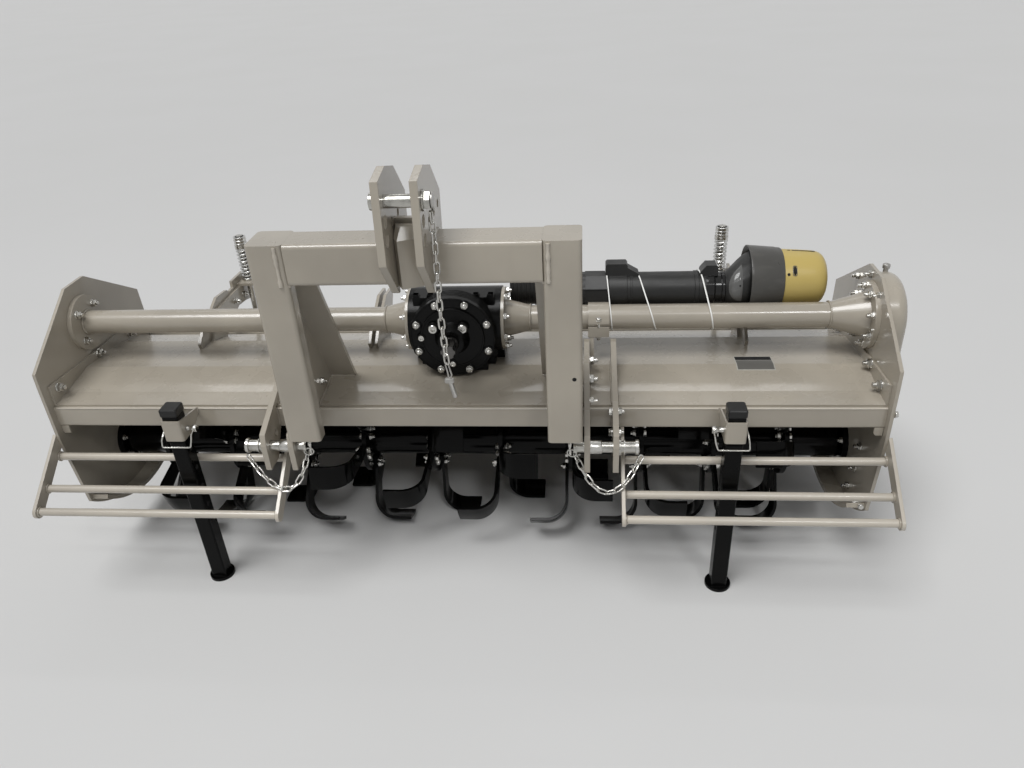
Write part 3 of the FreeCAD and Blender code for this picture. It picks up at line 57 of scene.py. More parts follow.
STAND_PIN_Z, HOLE_STEP = 460, 56    # pin of a stand, and the step of the holes under it
LINK_PIN_Y, LINK_PIN_Z = 50, 417    # lower-link pins
TOP_PIN_Y, TOP_PIN_Z = -38, 1019    # top-link pin
FRONT, RIGHT, LEFT, UP = (0, -1, 0), (1, 0, 0), (-1, 0, 0), (0, 0, 1)
SIDES = (("left", -1), ("right", 1))
# Y and Z of the deck's folds
DECK = ((132, 478), (184, 483), (255, 495), (283, 500), (450, 487), (557, 454), (588, 438))


def deck_z(y):
    """Height of the deck's top there."""
    for (a, low), (b, high) in zip(DECK, DECK[1:]):
        if y <= b:
            return low + (high - low) * (y - a) / (b - a)
    return DECK[-1][1]


def model(point):
    """A place in millimetres turned into the model's metres."""
    return Vector([(value - start) / 1000 for value, start in zip(point, ORIGIN)])


# Materials
def nodes_of(name):
    """A new material, its node tree and its shader."""
    material = bpy.data.materials.new(name)
    material.use_nodes = True
    tree = material.node_tree
    return material, tree, tree.nodes["Principled BSDF"]


def add(tree, kind, **values):
    """A node with its properties, and its inputs set by name or number."""
    node = tree.nodes.new(kind)
    for key, value in values.items():
        if hasattr(node, key):
            setattr(node, key, value)
        else:
            node.inputs[key.replace("_", " ")].default_value = value
    return node


def noise(tree, scale, detail=3.0, stretch=(1, 1, 1)):
    """Noise in the object's own coordinates, scale in waves per metre."""
    where = tree.nodes.new("ShaderNodeTexCoord")
    mapping = tree.nodes.new("ShaderNodeMapping")
    mapping.inputs["Scale"].default_value = stretch
    tree.links.new(where.outputs["Object"], mapping.inputs["Vector"])
    node = add(tree, "ShaderNodeTexNoise", Scale=scale, Detail=detail)
    tree.links.new(mapping.outputs["Vector"], node.inputs["Vector"])
    return node.outputs["Fac"]


def ramp(tree, source, low, high, start=0.0, end=1.0):
    """Maps low..high of a value to start..end."""
    node = add(tree, "ShaderNodeMapRange")
    node.inputs["From Min"].default_value = low
    node.inputs["From Max"].default_value = high
    node.inputs["To Min"].default_value = start
    node.inputs["To Max"].default_value = end
    tree.links.new(source, node.inputs["Value"])
    return node.outputs["Result"]


def mix(tree, factor, one, two):
    """Mixes two colours, each a socket or a colour."""
    node = tree.nodes.new("ShaderNodeMix")
    node.data_type = "RGBA"
    for socket, value in ((node.inputs[0], factor), (node.inputs[6], one), (node.inputs[7], two)):
        if isinstance(value, (tuple, float)):
            socket.default_value = value if isinstance(value, float) else value + (1.0,)
        else:
            tree.links.new(value, socket)
    return node.outputs[2]


def times(tree, one, two, operation="MULTIPLY"):
    """Two values multiplied, or joined by another operation, kept within 0 and 1."""
    node = tree.nodes.new("ShaderNodeMath")
    node.operation = operation
    node.use_clamp = True
    for socket, value in zip(node.inputs, (one, two)):
        if isinstance(value, float):
            socket.default_value = value
        else:
            tree.links.new(value, socket)
    return node.outputs[0]


def facing_up(tree, low=0.5, high=0.95):
    """1 on what faces up, 0 on the rest."""
    geometry = tree.nodes.new("ShaderNodeNewGeometry")
    split = tree.nodes.new("ShaderNodeSeparateXYZ")
    tree.links.new(geometry.outputs["Normal"], split.inputs[0])
    return ramp(tree, split.outputs["Z"], low, high)


def bumped(tree, shader, height, strength, distance, rounding=0.0):
    """Bump from a height, over edges rounded by that radius in metres."""
    bump = add(tree, "ShaderNodeBump", Strength=strength, Distance=distance)
    tree.links.new(height, bump.inputs["Height"])
    if rounding:
        bevel = add(tree, "ShaderNodeBevel", samples=6, Radius=rounding)
        tree.links.new(bevel.outputs["Normal"], bump.inputs["Normal"])
    tree.links.new(bump.outputs["Normal"], shader.inputs["Normal"])


def paint(name, color, rough, coat, dust=0.0, dust_color=(0.5, 0.48, 0.43), peel=0.05, rounding=0.0015,
          specular=0.5, blotch=0.10):
    """Sprayed paint: a little uneven, with orange peel, dust where it faces up and soft edges."""
    material, tree, shader = nodes_of(name)
    shader.inputs["Specular IOR Level"].default_value = specular
    shader.inputs["Coat Weight"].default_value = coat
    shader.inputs["Coat Roughness"].default_value = 0.12
    darker = tuple(c * (1 - blotch) for c in color)
    lighter = tuple(min(c * (1 + blotch), 1.0) for c in color)
    cloud = ramp(tree, noise(tree, 3.5, 4.0), 0.35, 0.65)
    base = mix(tree, cloud, darker, lighter)
    streak = ramp(tree, noise(tree, 30.0, 5.0, (1, 1, 0.15)), 0.52, 0.75)
    base = mix(tree, times(tree, streak, 0.07), base, tuple(c * 0.75 for c in color))
    if dust:
        lying = times(tree, facing_up(tree), ramp(tree, noise(tree, 14.0, 6.0), 0.38, 0.72))
        lying = times(tree, lying, float(dust))
        base = mix(tree, lying, base, dust_color)
        tree.links.new(ramp(tree, lying, 0.0, 1.0, rough, min(rough + 0.35, 1.0)),
                       shader.inputs["Roughness"])
    else:
        tree.links.new(ramp(tree, noise(tree, 22.0, 5.0), 0.3, 0.7, rough * 0.8, rough * 1.3),
                       shader.inputs["Roughness"])
    tree.links.new(base, shader.inputs["Base Color"])
    bumped(tree, shader, noise(tree, 420.0, 2.0), peel, 0.001, rounding)
    return material


def metal(name, color, rough, brushed=(1, 1, 1), grain=250.0, stain=0.25, rounding=0.0006, bump=0.06):
    """Bare or plated metal with fine grain and darker stains."""
    material, tree, shader = nodes_of(name)
    shader.inputs["Metallic"].default_value = 1.0
    stains = ramp(tree, noise(tree, 60.0, 6.0), 0.45, 0.7)
    base = mix(tree, times(tree, stains, float(stain)), color, tuple(c * 0.45 for c in color))
    tree.links.new(base, shader.inputs["Base Color"])
    fine = noise(tree, grain, 3.0, brushed)
    tree.links.new(ramp(tree, fine, 0.25, 0.75, rough * 0.75, rough * 1.4), shader.inputs["Roughness"])
    bumped(tree, shader, fine, bump, 0.0006, rounding)
    return material


def plastic(name, color, rough, rounding=0.001, scuffs=0.25, light=(0.2, 0.2, 0.19)):
    """Moulded plastic with fine texture and paler scuffs."""
    material, tree, shader = nodes_of(name)
    shader.inputs["Specular IOR Level"].default_value = 0.4
    marks = ramp(tree, noise(tree, 45.0, 8.0, (0.35, 1, 1)), 0.55, 0.8)
    base = mix(tree, times(tree, marks, float(scuffs)), color, light)
    tree.links.new(base, shader.inputs["Base Color"])
    tree.links.new(ramp(tree, noise(tree, 30.0, 5.0), 0.3, 0.7, rough * 0.8, rough * 1.25),
                   shader.inputs["Roughness"])
    bumped(tree, shader, noise(tree, 900.0, 2.0), 0.10, 0.0005, rounding)
    return material


# name, colour, roughness, coat
GREY = paint("grey_paint", (0.354, 0.320, 0.264), 0.27, 0.55, dust=0.04)
GREY_TAIL = paint("grey_paint_tailboard", (0.340, 0.308, 0.252), 0.34, 0.35, dust=0.06, blotch=0.14)
# A paler copy of the grey paint as painted highlight: the guards, two weld beads and the hood's front edge
GREY_PAINTED_HIGHLIGHT = paint("grey_paint_highlight", (0.47, 0.43, 0.365), 0.28, 0.45, dust=0.05)
BLACK = paint("black_paint", (0.0022, 0.0022, 0.0022), 0.22, 0.0, peel=0.06, blotch=0.2, specular=0.11)
CAST = paint("black_paint_cast", (0.0026, 0.0026, 0.0025), 0.25, 0.0, peel=0.30, blotch=0.3, dust=0.04,
             dust_color=(0.04, 0.04, 0.034), specular=0.15)
ROTOR = paint("black_paint_rotor", (0.0020, 0.0020, 0.0019), 0.15, 0.0, peel=0.08, blotch=0.3,
              specular=0.12)
ZINC = metal("zinc", (0.60, 0.59, 0.56), 0.20, stain=0.4)
DULL = metal("zinc_dull", (0.46, 0.45, 0.43), 0.34, stain=0.5)
PIN = metal("zinc_turned", (0.50, 0.49, 0.455), 0.17, brushed=(8, 1, 1), stain=0.6)
SHAFT = metal("dark_steel", (0.13, 0.125, 0.12), 0.32, stain=0.5)
SPRING = metal("spring_zinc", (0.66, 0.66, 0.65), 0.22)
PLASTIC = plastic("black_plastic", (0.0125, 0.0125, 0.0120), 0.40, scuffs=0.12, light=(0.06, 0.06, 0.057))
# The sleeve: black plastic made dark grey as a painted sheen, with pale scuffs of wear
SLEEVE_WITH_SHEEN = plastic("black_plastic_sleeve_painted_sheen", (0.066, 0.064, 0.059), 0.33, scuffs=0.4,
                 light=(0.12, 0.115, 0.105))
GLOSSY = plastic("black_plastic_glossy", (0.006, 0.006, 0.006), 0.13, scuffs=0.05)
SHINY = plastic("grey_plastic_glossy", (0.105, 0.105, 0.102), 0.14, scuffs=0.4, light=(0.24, 0.24, 0.23))
GOLD = plastic("gold_plastic", (0.50, 0.383, 0.122), 0.34, scuffs=0.10, light=(0.6, 0.5, 0.25))
RUBBER = plastic("black_cap_plastic", (0.005, 0.005, 0.005), 0.36, scuffs=0.12, light=(0.03, 0.03, 0.03))
TIE = plastic("white_tie", (0.82, 0.82, 0.79), 0.35, scuffs=0.1, light=(0.6, 0.6, 0.55))
PLATE = plastic("label_blank", (0.115, 0.112, 0.103), 0.40, scuffs=0.3, light=(0.13, 0.13, 0.12))
RIM = plastic("label_rim", (0.42, 0.41, 0.37), 0.35, scuffs=0.1, light=(0.5, 0.5, 0.46))
# Near-black: painted shade inside holes, gaps and slots; also the guard's dark seam and the plate's black band
SHADE_AND_BLACK = plastic("painted_shade_and_black", (0.003, 0.003, 0.003), 0.8, scuffs=0.0)

LOOKS = {
    "grey_paint": GREY, "black_paint": BLACK, "zinc": ZINC, "bright_steel": SHAFT,
    "spring_steel": SPRING, "black_plastic": PLASTIC, "gold_plastic": GOLD,
}
slots = {item["node"]: item["material_slot"] for item in frame["record"]["subparts"]}
OWN = {
    "gearbox_housing": CAST, "gearbox_front_cover": CAST, "rotor": ROTOR, "rotor_bearings": BLACK,
    "tailboard": GREY_TAIL, "lower_link_pin_left": PIN, "lower_link_pin_right": PIN,
    # the guards take the paler grey of a painted highlight
    "top_link_pin": PIN, "guard_left": GREY_PAINTED_HIGHLIGHT, "guard_right": GREY_PAINTED_HIGHLIGHT,
}
for node, item in frame["nodes"].items():
    look = OWN.get(node, LOOKS[slots[node]])
    for holder in item.material_slots:
        holder.material = look
    if not item.material_slots:
        item.data.materials.append(look)


# Pieces made here: points and faces gathered in millimetres, then turned into one object each
class Form:
    """Points and faces of one object in the making."""

    def __init__(self):
        self.points = []
        self.faces = []

    def add(self, points, faces):
        start = len(self.points)
        self.points += [Vector(p) for p in points]
        self.faces += [[start + n for n in face] for face in faces]

    def rings(self, rings, closed=False):
        """Skins rings of as many points each, one after the other."""
        count = len(rings[0])
        points = [p for ring in rings for p in ring]
        faces = []
        steps = len(rings) if closed else len(rings) - 1
        for k in range(steps):
            a, b = k * count, (k + 1) % len(rings) * count
            for n in range(count):
                m = (n + 1) % count
                faces.append((a + n, a + m, b + m, b + n))
        if not closed:
            faces.append(tuple(range(count))[::-1])
            faces.append(tuple((len(rings) - 1) * count + n for n in range(count)))
        self.add(points, faces)

    def lathe(self, start, axis, profile, sides=24, hollow=False):
        """A turned form: (distance along the axis, radius) from the start; hollow closes it on itself."""
        u, v, w = axes(axis)
        start = Vector(start)
        self.rings([[start + w * along + (u * math.cos(a) + v * math.sin(a)) * radius
                     for a in (math.tau * n / sides for n in range(sides))] for along, radius in profile],
                   hollow)

    def bar(self, path, radius, sides=10, closed=False, flat=1.0):
        """A round bar along points; flat squeezes it across, and radius may be a list."""
        path = [Vector(p) for p in path]
        count = len(path)
        rings = []
        side = None
        for k, point in enumerate(path):
            ahead = path[(k + 1) % count] if closed else path[min(k + 1, count - 1)]
            back = path[k - 1] if closed or k else path[0]
            along = (ahead - back).normalized()
            if side is None:
                side = axes(along)[0]
            side = (side - along * side.dot(along)).normalized()
            up = along.cross(side)
            size = radius[k] if isinstance(radius, list) else radius
            rings.append([point + (side * math.cos(a) + up * math.sin(a) * flat) * size
                          for a in (math.tau * n / sides for n in range(sides))])
        self.rings(rings, closed)

    def block(self, low, high, chamfer=1.0):
        """A box with its edges cut off."""
        low, high = Vector(low), Vector(high)
        c = chamfer
        outline = [(low.x + c, low.y), (high.x - c, low.y), (high.x, low.y + c), (high.x, high.y - c),
                   (high.x - c, high.y), (low.x + c, high.y), (low.x, high.y - c), (low.x, low.y + c)]
        middle = ((low.x + high.x) / 2, (low.y + high.y) / 2)

        def layer(z, inset):
            points = []
            for x, y in outline:
                dx, dy = x - middle[0], y - middle[1]
                reach = Vector((dx, dy, 0)).length
                points.append(Vector((x - dx / reach * inset, y - dy / reach * inset, z)))
            return points

        self.rings([layer(low.z, c), layer(low.z + c, 0), layer(high.z - c, 0), layer(high.z, c)])

    def prism(self, outline, axis, start, end):
        """An outline of two coordinates, pushed along the third: axis 0 takes (y, z), 1 (x, z), 2 (x, y)."""
        def spot(a, b, c):
            return {0: (c, a, b), 1: (a, c, b), 2: (a, b, c)}[axis]
        self.rings([[Vector(spot(a, b, start)) for a, b in outline],
                    [Vector(spot(a, b, end)) for a, b in outline]])

    def bolt(self, at, axis, size=10.0, washer=True, thread=0.0, dome=False):
        """A hexagon head on its washer, or with a thread's end beyond it; size is the thread."""
        u, v, w = axes(axis)
        at = Vector(at)
        low = 0.0
        if washer:
            low = size * 0.2
            self.lathe(at, axis, [(0, size * 1.02), (low * 0.7, size * 1.02), (low, size * 0.97)], 20)
        across = size * 0.92
        height = size * 0.72
        turn = random.random() * math.tau

        def ring(along, radius, sides=6):
            return [at + w * along + (u * math.cos(a) + v * math.sin(a)) * radius
                    for a in (turn + math.tau * n / sides for n in range(sides))]

        self.rings([ring(low, across), ring(low + height * 0.86, across),
                    ring(low + height, across * 0.80)])
        if thread:
            self.lathe(at + w * (low + height), axis,
                       [(0, size * 0.5), (thread - 1, size * 0.5), (thread, size * 0.38)], 12)
        if dome:
            self.lathe(at + w * (low + height - 0.5), axis, [(0, size * 0.6), (2.2, size * 0.42)], 12)


def axes(axis):
    """Two directions square to an axis, and the axis itself."""
    w = Vector(axis).normalized()
    other = Vector((0, 0, 1)) if abs(w.z) < 0.9 else Vector((1, 0, 0))
    u = other.cross(w).normalized()
    return u, w.cross(u), w


def piece(name, form, look, body="frame", angle=38.0, replaces=()):
    """One object out of a form, riding on a body."""
    mesh = bpy.data.meshes.new(name)
    mesh.from_pydata([model(p) for p in form.points], [], form.faces)
    mesh.validate()
    whole = bmesh.new()
    whole.from_mesh(mesh)
    bmesh.ops.recalc_face_normals(whole, faces=whole.faces)
    whole.to_mesh(mesh)
    whole.free()
    mesh.materials.append(look)
    mesh.shade_smooth()
    mesh.set_sharp_from_angle(angle=math.radians(angle))
    item = bpy.data.objects.new(name, mesh)
    bpy.context.collection.objects.link(item)
    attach(item, body)
    for node in replaces:
        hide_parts(node)
    return item


def hoop(x, y, z, radius, count):
    """Points of a ring round the X axis through a place."""
    return [Vector((x, y + radius * math.cos(a), z + radius * math.sin(a)))
            for a in (math.tau * n / count for n in range(count))]


def grid_faces(rows, columns, start=0):
    """Faces of a grid whose points lie row by row."""
    corners = [start + k * (columns + 1) + n for k in range(rows) for n in range(columns)]
    return [[a, a + 1, a + columns + 2, a + columns + 1] for a in corners]


def circle(middle, radius, count, start):
    """Points round a middle of two coordinates; start in degrees."""
    return [(middle[0] + radius * math.cos(a), middle[1] + radius * math.sin(a))
            for a in (math.radians(start) + math.tau * n / count for n in range(count))]


def spaced(path, step, closed=False):
    """Points every step millimetres along a line of points."""
    path = [Vector(p) for p in path]
    if closed:
        path.append(path[0])
    points = []
    for a, b in zip(path, path[1:]):
        count = max(int((b - a).length / step), 1)
        points += [a.lerp(b, k / count) for k in range(count)]
    return points if closed else points + [path[-1]]


def smooth(path, per=8):
    """A soft line through points."""
    path = [Vector(p) for p in path]
    path = [path[0] * 2 - path[1]] + path + [path[-1] * 2 - path[-2]]
    points = []
    for a, b, c, d in zip(path, path[1:], path[2:], path[3:]):
        for k in range(per):
            t = k / per
            points.append((b * 2 + (c - a) * t + (a * 2 - b * 5 + c * 4 - d) * t * t
                           + (b * 3 - a - c * 3 + d) * t ** 3) / 2)
    return points + [path[-2]]


def weld(form, path, radius=3.0, closed=False):
    """A bead along points, uneven as a weld is."""
    points = spaced(path, radius * 1.2, closed)
    form.bar(points, [radius * (0.78 + 0.5 * random.random()) for point in points], 8, closed)


def plug(form, at, axis, radius, high=5.0, inner=0.5):
    """A round head with a recess in it."""
    form.lathe(at, axis, [(0, radius), (high * 0.75, radius), (high, radius * 0.86),
                          (high, radius * inner), (high * 0.4, radius * inner * 0.9),
                          (high * 0.4, 0.01)], 20)


def round_wire(form, middle, radius, across, wire, sides=8, count=28):
    """A ring of wire round a middle, square to across."""
    u, v, w = axes(across)
    middle = Vector(middle)
    form.bar([middle + (u * math.cos(a) + v * math.sin(a)) * radius
              for a in (math.tau * n / count for n in range(count))], wire, sides, True)


random.seed(7)

# Gearbox: bolts and plugs of the cover, beads and bosses of the castings, bolts of its side flanges
gear_bolts = Form()
castings = Form()
for x, z in circle((HOOD, TUBE_Z), 91.0, 8, 22.5):
    castings.lathe((x, 237, z), FRONT, [(0, 13.5), (2.2, 13.0), (3.0, 12.0)], 20)
    gear_bolts.bolt((x, 234, z), FRONT, 8.6, dome=True)
for x, z in ((-20, 631), (50, 631)):
    castings.lathe((x, 233, z), FRONT, [(0, 15), (8, 14.5), (9, 13.5)], 24)
    plug(gear_bolts, (x, 224, z), FRONT, 11.0, 7.0)
for x, z in ((-52, 603), (18, 533)):
    castings.lathe((x, 233, z), FRONT, [(0, 11.5), (2.0, 11.0), (2.6, 10.2)], 20)
    plug(gear_bolts, (x, 230.5, z), FRONT, 7.5, 4.0)
castings.block((-17, 229.8, 622), (47, 233, 634), 1.4)
castings.lathe((HOOD, 232.3, TUBE_Z), FRONT, [(0, 76.8), (1.6, 76), (1.6, 72.5), (0, 71.5)], 72, True)
castings.lathe((HOOD, 236.3, TUBE_Z), FRONT, [(0, 102), (1.5, 101), (1.5, 98.5), (0, 97.5)], 72, True)
castings.lathe((HOOD, 233, TUBE_Z), FRONT, [(0, 23.5), (4, 22.5), (6, 21)], 36)
castings.lathe((HOOD, 209, TUBE_Z), FRONT, [(0, 30.5), (2.2, 29.5), (2.2, 19), (0, 18)], 36, True)
for n in range(5):
    castings.lathe((HOOD, 254 + 7.5 * n, TUBE_Z), (0, 1, 0),
                   [(0, 99.4), (1.2, 101.2), (3.0, 101.2), (4.2, 99.4)], 72, True)
# X and Z of the left horn on the gearbox; the right one is 145 further
HORN = ((-74, 668), (-27, 668), (-27, 689), (-39, 689), (-42.5, 681), (-50.5, 677), (-58.5, 681), (-62, 689),
        (-74, 689))
for shift in (0, 145):
    castings.prism([(x + shift, z) for x, z in HORN], 1, 287.5, 301.5)
for side in (-1, 1):
    for y, z in circle((TUBE_Y, TUBE_Z), 68.0, 8, 17.0):
        gear_bolts.bolt((HOOD + side * 120, y, z), (side, 0, 0), 8.5, thread=6)
    for n in range(3):
        castings.lathe((HOOD + side * (92 + 7.5 * n), TUBE_Y, TUBE_Z), (side, 0, 0),
                       [(0, 76.4), (1, 78), (3.4, 78), (4.4, 76.4)], 60, True)
piece("gearbox_bolts", gear_bolts, ZINC)
piece("gearbox_casting_details", castings, CAST, angle=30)

# Bolts of the side plates, their flanges, bearings and the deck's end flanges
LEFT_IN, RIGHT_IN = HOOD - HALF, HOOD + HALF
LEFT_OUT = LEFT_IN - PLATE_THICK
# Y and Z of the bolts through the right plate
RIGHT_PLATE = ((371, 691), (299, 667), (270, 594), (451, 654), (228, 298), (236, 227), (253, 158), (192, 152))
end_bolts = Form()
for y, z in circle((TUBE_Y, TUBE_Z), 52.0, 4, 45.0):
    end_bolts.bolt((LEFT_IN + 12, y, z), RIGHT, 10.5, thread=7)
    end_bolts.bolt((LEFT_OUT, y, z), LEFT, 10.5)
for y, z in circle((TUBE_Y, TUBE_Z), 68.0, 8, 22.5):
    end_bolts.bolt((RIGHT_IN - 12, y, z), LEFT, 9.5, thread=8)
for y, z in RIGHT_PLATE:
    end_bolts.bolt((RIGHT_IN, y, z), LEFT, 9.5, thread=8)
# X of the face, side of the thread, Y and Z
FLANGE_BOLTS = (
    (LEFT_IN + 5, 1, 160, 511), (LEFT_IN + 5, 1, 345, 508), (LEFT_IN + 5, 1, 500, 488),
    (RIGHT_IN - 5, -1, 178, 502), (RIGHT_IN - 5, -1, 256, 515), (RIGHT_IN - 5, -1, 500, 488),
)
for x, side, y, z in FLANGE_BOLTS:
    end_bolts.bolt((x, y, z), (side, 0, 0), 12, thread=9)
    if side == 1:
        end_bolts.bolt((LEFT_OUT, y, z), LEFT, 12)
for side in (-1, 1):
    for y, z in circle((ROTOR_Y, ROTOR_Z), 52.0, 6, 30.0):
        end_bolts.bolt((HOOD + side * (HALF - 14), y, z), (-side, 0, 0), 8.5, thread=4)
for y, z in circle((ROTOR_Y, ROTOR_Z), 52.0, 6, 30.0):
    end_bolts.bolt((LEFT_OUT - 5, y, z), LEFT, 8.5)
piece("side_plate_bolts", end_bolts, ZINC)

bearing_cap = Form()
bearing_cap.lathe((LEFT_OUT, ROTOR_Y, ROTOR_Z), LEFT,
                  [(0, 66), (3.5, 66), (5, 64.5), (5, 36), (8, 33), (10.5, 24), (11, 0.01)], 48)
piece("rotor_bearing_cap", bearing_cap, BLACK)

# Plugs of the gear case, and the breather on its top
case_plugs = Form()
plug(case_plugs, (1064.5, 380, 430), RIGHT, 12, 6)
plug(case_plugs, (1064.5, 372, 148), RIGHT, 12, 6)
case_plugs.lathe((1040, 379, 688), UP,
                 [(0, 6), (12, 6), (12, 5), (14, 5), (15, 8.5), (21, 9), (24, 8), (25.5, 5), (26, 0.01)], 20)
piece("gear_case_plugs", case_plugs, DULL)

# Lower links: bolts of the plates, sleeves, end rings and linch pins of the pins
link_bolts = Form()
link_pins = Form()
# X of the plate's face, side of the head, Y and Z, thread, end beyond the nut
LINK_BOLTS = (
    (346, 1, 250, 530, 11.5, 9), (346, 1, 200, 507, 11.5, 9), (346, 1, 150, 476, 11.5, 9),
    (397, -1, 110, 474, 9.5, 0), (397, -1, 108, 418, 9.5, 0), (410, 1, 110, 474, 9.5, 6),
    (410, 1, 108, 418, 9.5, 6),
)
for x, turn, y, z, size, thread in LINK_BOLTS:
    link_bolts.bolt((x, y, z), (turn, 0, 0), size, thread=thread)
for side in (-1, 1):
    outward = (side, 0, 0)
    link_pins.lathe((side * 346, LINK_PIN_Y, LINK_PIN_Z), outward,
                    [(0, 15.5), (25, 15.5), (26.5, 14.5), (27, 12)], 32)
    link_pins.lathe((side * 446.5, LINK_PIN_Y, LINK_PIN_Z), outward,
                    [(0, 14), (0.6, 17.2), (7, 17.4), (9, 15.8), (10, 12.5), (10.3, 0.01)], 32)
    link_pins.lathe((side * 421, LINK_PIN_Y, LINK_PIN_Z), outward,
                    [(0, 14), (0.4, 17.8), (3, 17.8), (3.4, 14)], 32)
    round_wire(link_pins, (side * 305, 42, 406), 10.5, (0.25 * side, 1.0, 0.15), 1.7)
    link_pins.lathe((side * 301, 45, 430), (0.03 * side, 0, -1),
                    [(0, 3.2), (1, 4.6), (8, 4.6), (9, 3.6), (28, 3.4), (31, 2.0)], 16)
piece("lower_link_bolts", link_bolts, ZINC)
piece("lower_link_pin_fittings", link_pins, ZINC)

# Tube clamps: a split block with its bolt round the cross tube, on the strap down to the deck; the split between
# the ears is filled with a near-black block of painted shade
clamps = Form()
clamp_gap_shade = Form()
clamp_bolts = Form()
CLAMP_LONG = 51
# left end of a clamp, and of its strap
for x, strap in ((-394, -357), (343, 347)):
    clamps.lathe((x, TUBE_Y, TUBE_Z), RIGHT,
                 [(0, 30.3), (0, 36.1), (CLAMP_LONG, 36.1), (CLAMP_LONG, 30.3)], 48, True)
    clamps.prism([(304.5, 597.5), (304.5, 605), (309, 613), (318, 622), (326, 622), (326, 597.5)],
                 0, x, x + CLAMP_LONG)
    clamps.prism([(304.5, 563), (304.5, 591), (336, 591), (336, 563)], 0, x, x + CLAMP_LONG)
    clamps.prism([(306, 563), (341, 563), (319, deck_z(319) - 1), (284, deck_z(284) - 1)],
                 0, strap, strap + 10)
    # near-black block in the split: painted shade
    clamp_gap_shade.block((x + 0.6, 307, 590), (x + CLAMP_LONG - 0.6, 320, 598), 0.3)
    middle = x + CLAMP_LONG / 2
    clamp_bolts.lathe((middle, 309, 589), UP, [(0, 5.5), (10, 5.5)], 14)
    clamp_bolts.bolt((middle, 311, 608), (0, -0.25, 1), 8)
    clamp_bolts.bolt((middle, 318, 563), (0, 0, -1), 8, thread=6)
piece("clamp_blocks", clamps, GREY, replaces=("tube_clamps",))
piece("clamp_gap_painted_shade", clamp_gap_shade, SHADE_AND_BLACK)
piece("clamp_bolts", clamp_bolts, ZINC)

# Sockets of the stands: a bent strap with a back wall, the pin through it and its wire
STAND_X = (("left", HOOD - STAND_REACH, 1), ("right", HOOD + STAND_REACH, -1))
corner = [(math.cos(math.radians(a)), math.sin(math.radians(a))) for a in (180, 202.5, 225, 247.5, 270)]
# the wire: X to the pin's head, Y, Z
WIRE = (
    (43, 28.5, 444), (38, 28, 428.5), (36, 28, 425.8), (33, 28, 425), (-27, 28, 424.5), (-30, 28, 425.6),
    (-31, 28.3, 429), (-29.5, 31, 444), (-28, 44, 456), (-26, 56, 460),
)
for word, x, head in STAND_X:
    socket = Form()
    plan = [(-23.5, 124, -19.5, 124), (-23.5, 80.5, -19.5, 80.5)]
    for cx, cy in corner:
        plan.append((-17.5 + 6 * cx, 39.5 + 6 * cy, -17.5 + 2 * cx, 39.5 + 2 * cy))
    plan += [(-a, b, -c, d) for a, b, c, d in plan[::-1]]
    rings = []
    for a, b, c, d in plan:
        low = 438 if b < 81 else 459
        high = 492 - 16 * max(b - 33.5, 0) / 90.5
        rings.append([Vector((x + a, b, low)), Vector((x + a, b, high)), Vector((x + c, d, high)),
                      Vector((x + c, d, low))])
    socket.rings(rings)
    socket.block((x - 19.6, 76.6, 438), (x + 19.6, 80.5, 476), 0.5)
    piece("socket_" + word, socket, GREY, angle=30,
          replaces=("stand_socket_" + word,))
    pin = Form()
    pin.lathe((x - head * 27.5, STAND_Y, STAND_PIN_Z), (head, 0, 0),
              [(0, 4.2), (1.5, 5.2), (7.0, 5.2)], 20)
    pin.lathe((x + head * 20.5, STAND_Y, STAND_PIN_Z), (head, 0, 0),
              [(0, 5.2), (3, 5.2), (3.4, 6.5), (6.5, 6.5), (10.5, 5.6), (14.5, 6.2), (20.5, 8.8),
               (26.5, 8.8), (28.5, 7.5), (29, 0.01)], 20)
    wire = smooth([(x + head * 45, STAND_Y, STAND_PIN_Z), (x + head * 46, 42, 462),
                   (x + head * 46, 31, 459)], 5)
    wire += [Vector((x + head * along, y, z)) for along, y, z in WIRE]
    pin.bar(wire, 1.9, 8)
    piece("stand_pin_" + word, pin, ZINC)
    cap = Form()
    cap.block((x - 20.6, 36.4, 501), (x + 20.6, 77.6, 521), 2.6)
    piece("stand_cap_" + word, cap, RUBBER, body="stand_" + word, angle=25)
    # The holes down the stand: near-black discs of painted shade
    holes = Form()
    for n in range(1, 6):
        for side in (-1, 1):
            holes.lathe((x + side * 18.8, STAND_Y, STAND_PIN_Z - HOLE_STEP * n), (side, 0, 0),
                        [(0, 6.5), (0.35, 6.4), (0.4, 0.01)], 20)
    piece("stand_hole_shades_" + word, holes, SHADE_AND_BLACK, body="stand_" + word)

# Springs of the struts: open coils between the washers, and the rod's end over the nut
turns, low, high, reach = 8.25, 567.3, 657.3, 15.7
count = int(turns * 22)
for word, side in SIDES:
    x = HOOD + side * STRUT_REACH
    coil = Form()
    helix = []
    for k in range(count + 1):
        a = math.tau * turns * k / count
        helix.append((x + reach * math.cos(a), STRUT_Y + reach * math.sin(a), low + (high - low) * k / count))
    coil.bar(helix, 2.85, 8)
    for z in (566.9, 657.2):
        round_wire(coil, (x, STRUT_Y, z), reach, UP, 2.75)
    piece("spring_" + word, coil, SPRING, body="strut_" + word,
          replaces=("strut_spring_" + word,))
    top = Form()
    for z in (672, 681):
        top.lathe((x, STRUT_Y, z), UP, [(0, 16.6), (1.2, 18.2), (3.2, 18.2), (4.4, 16.6)], 32, True)
    top.lathe((x, STRUT_Y, 692.5), UP, [(0, 17.4), (1.4, 16.6), (1.4, 13), (0.4, 12.5)], 32, True)
    piece("strut_top_" + word, top, SPRING, body="strut_" + word)
    dark = Form()
    dark.lathe((x, STRUT_Y, 692.9), UP, [(0, 12.8), (0.5, 12.6), (0.5, 9.5), (0, 9.2)], 28, True)
    piece("strut_top_shadow_" + word, dark, SHADE_AND_BLACK, body="strut_" + word)

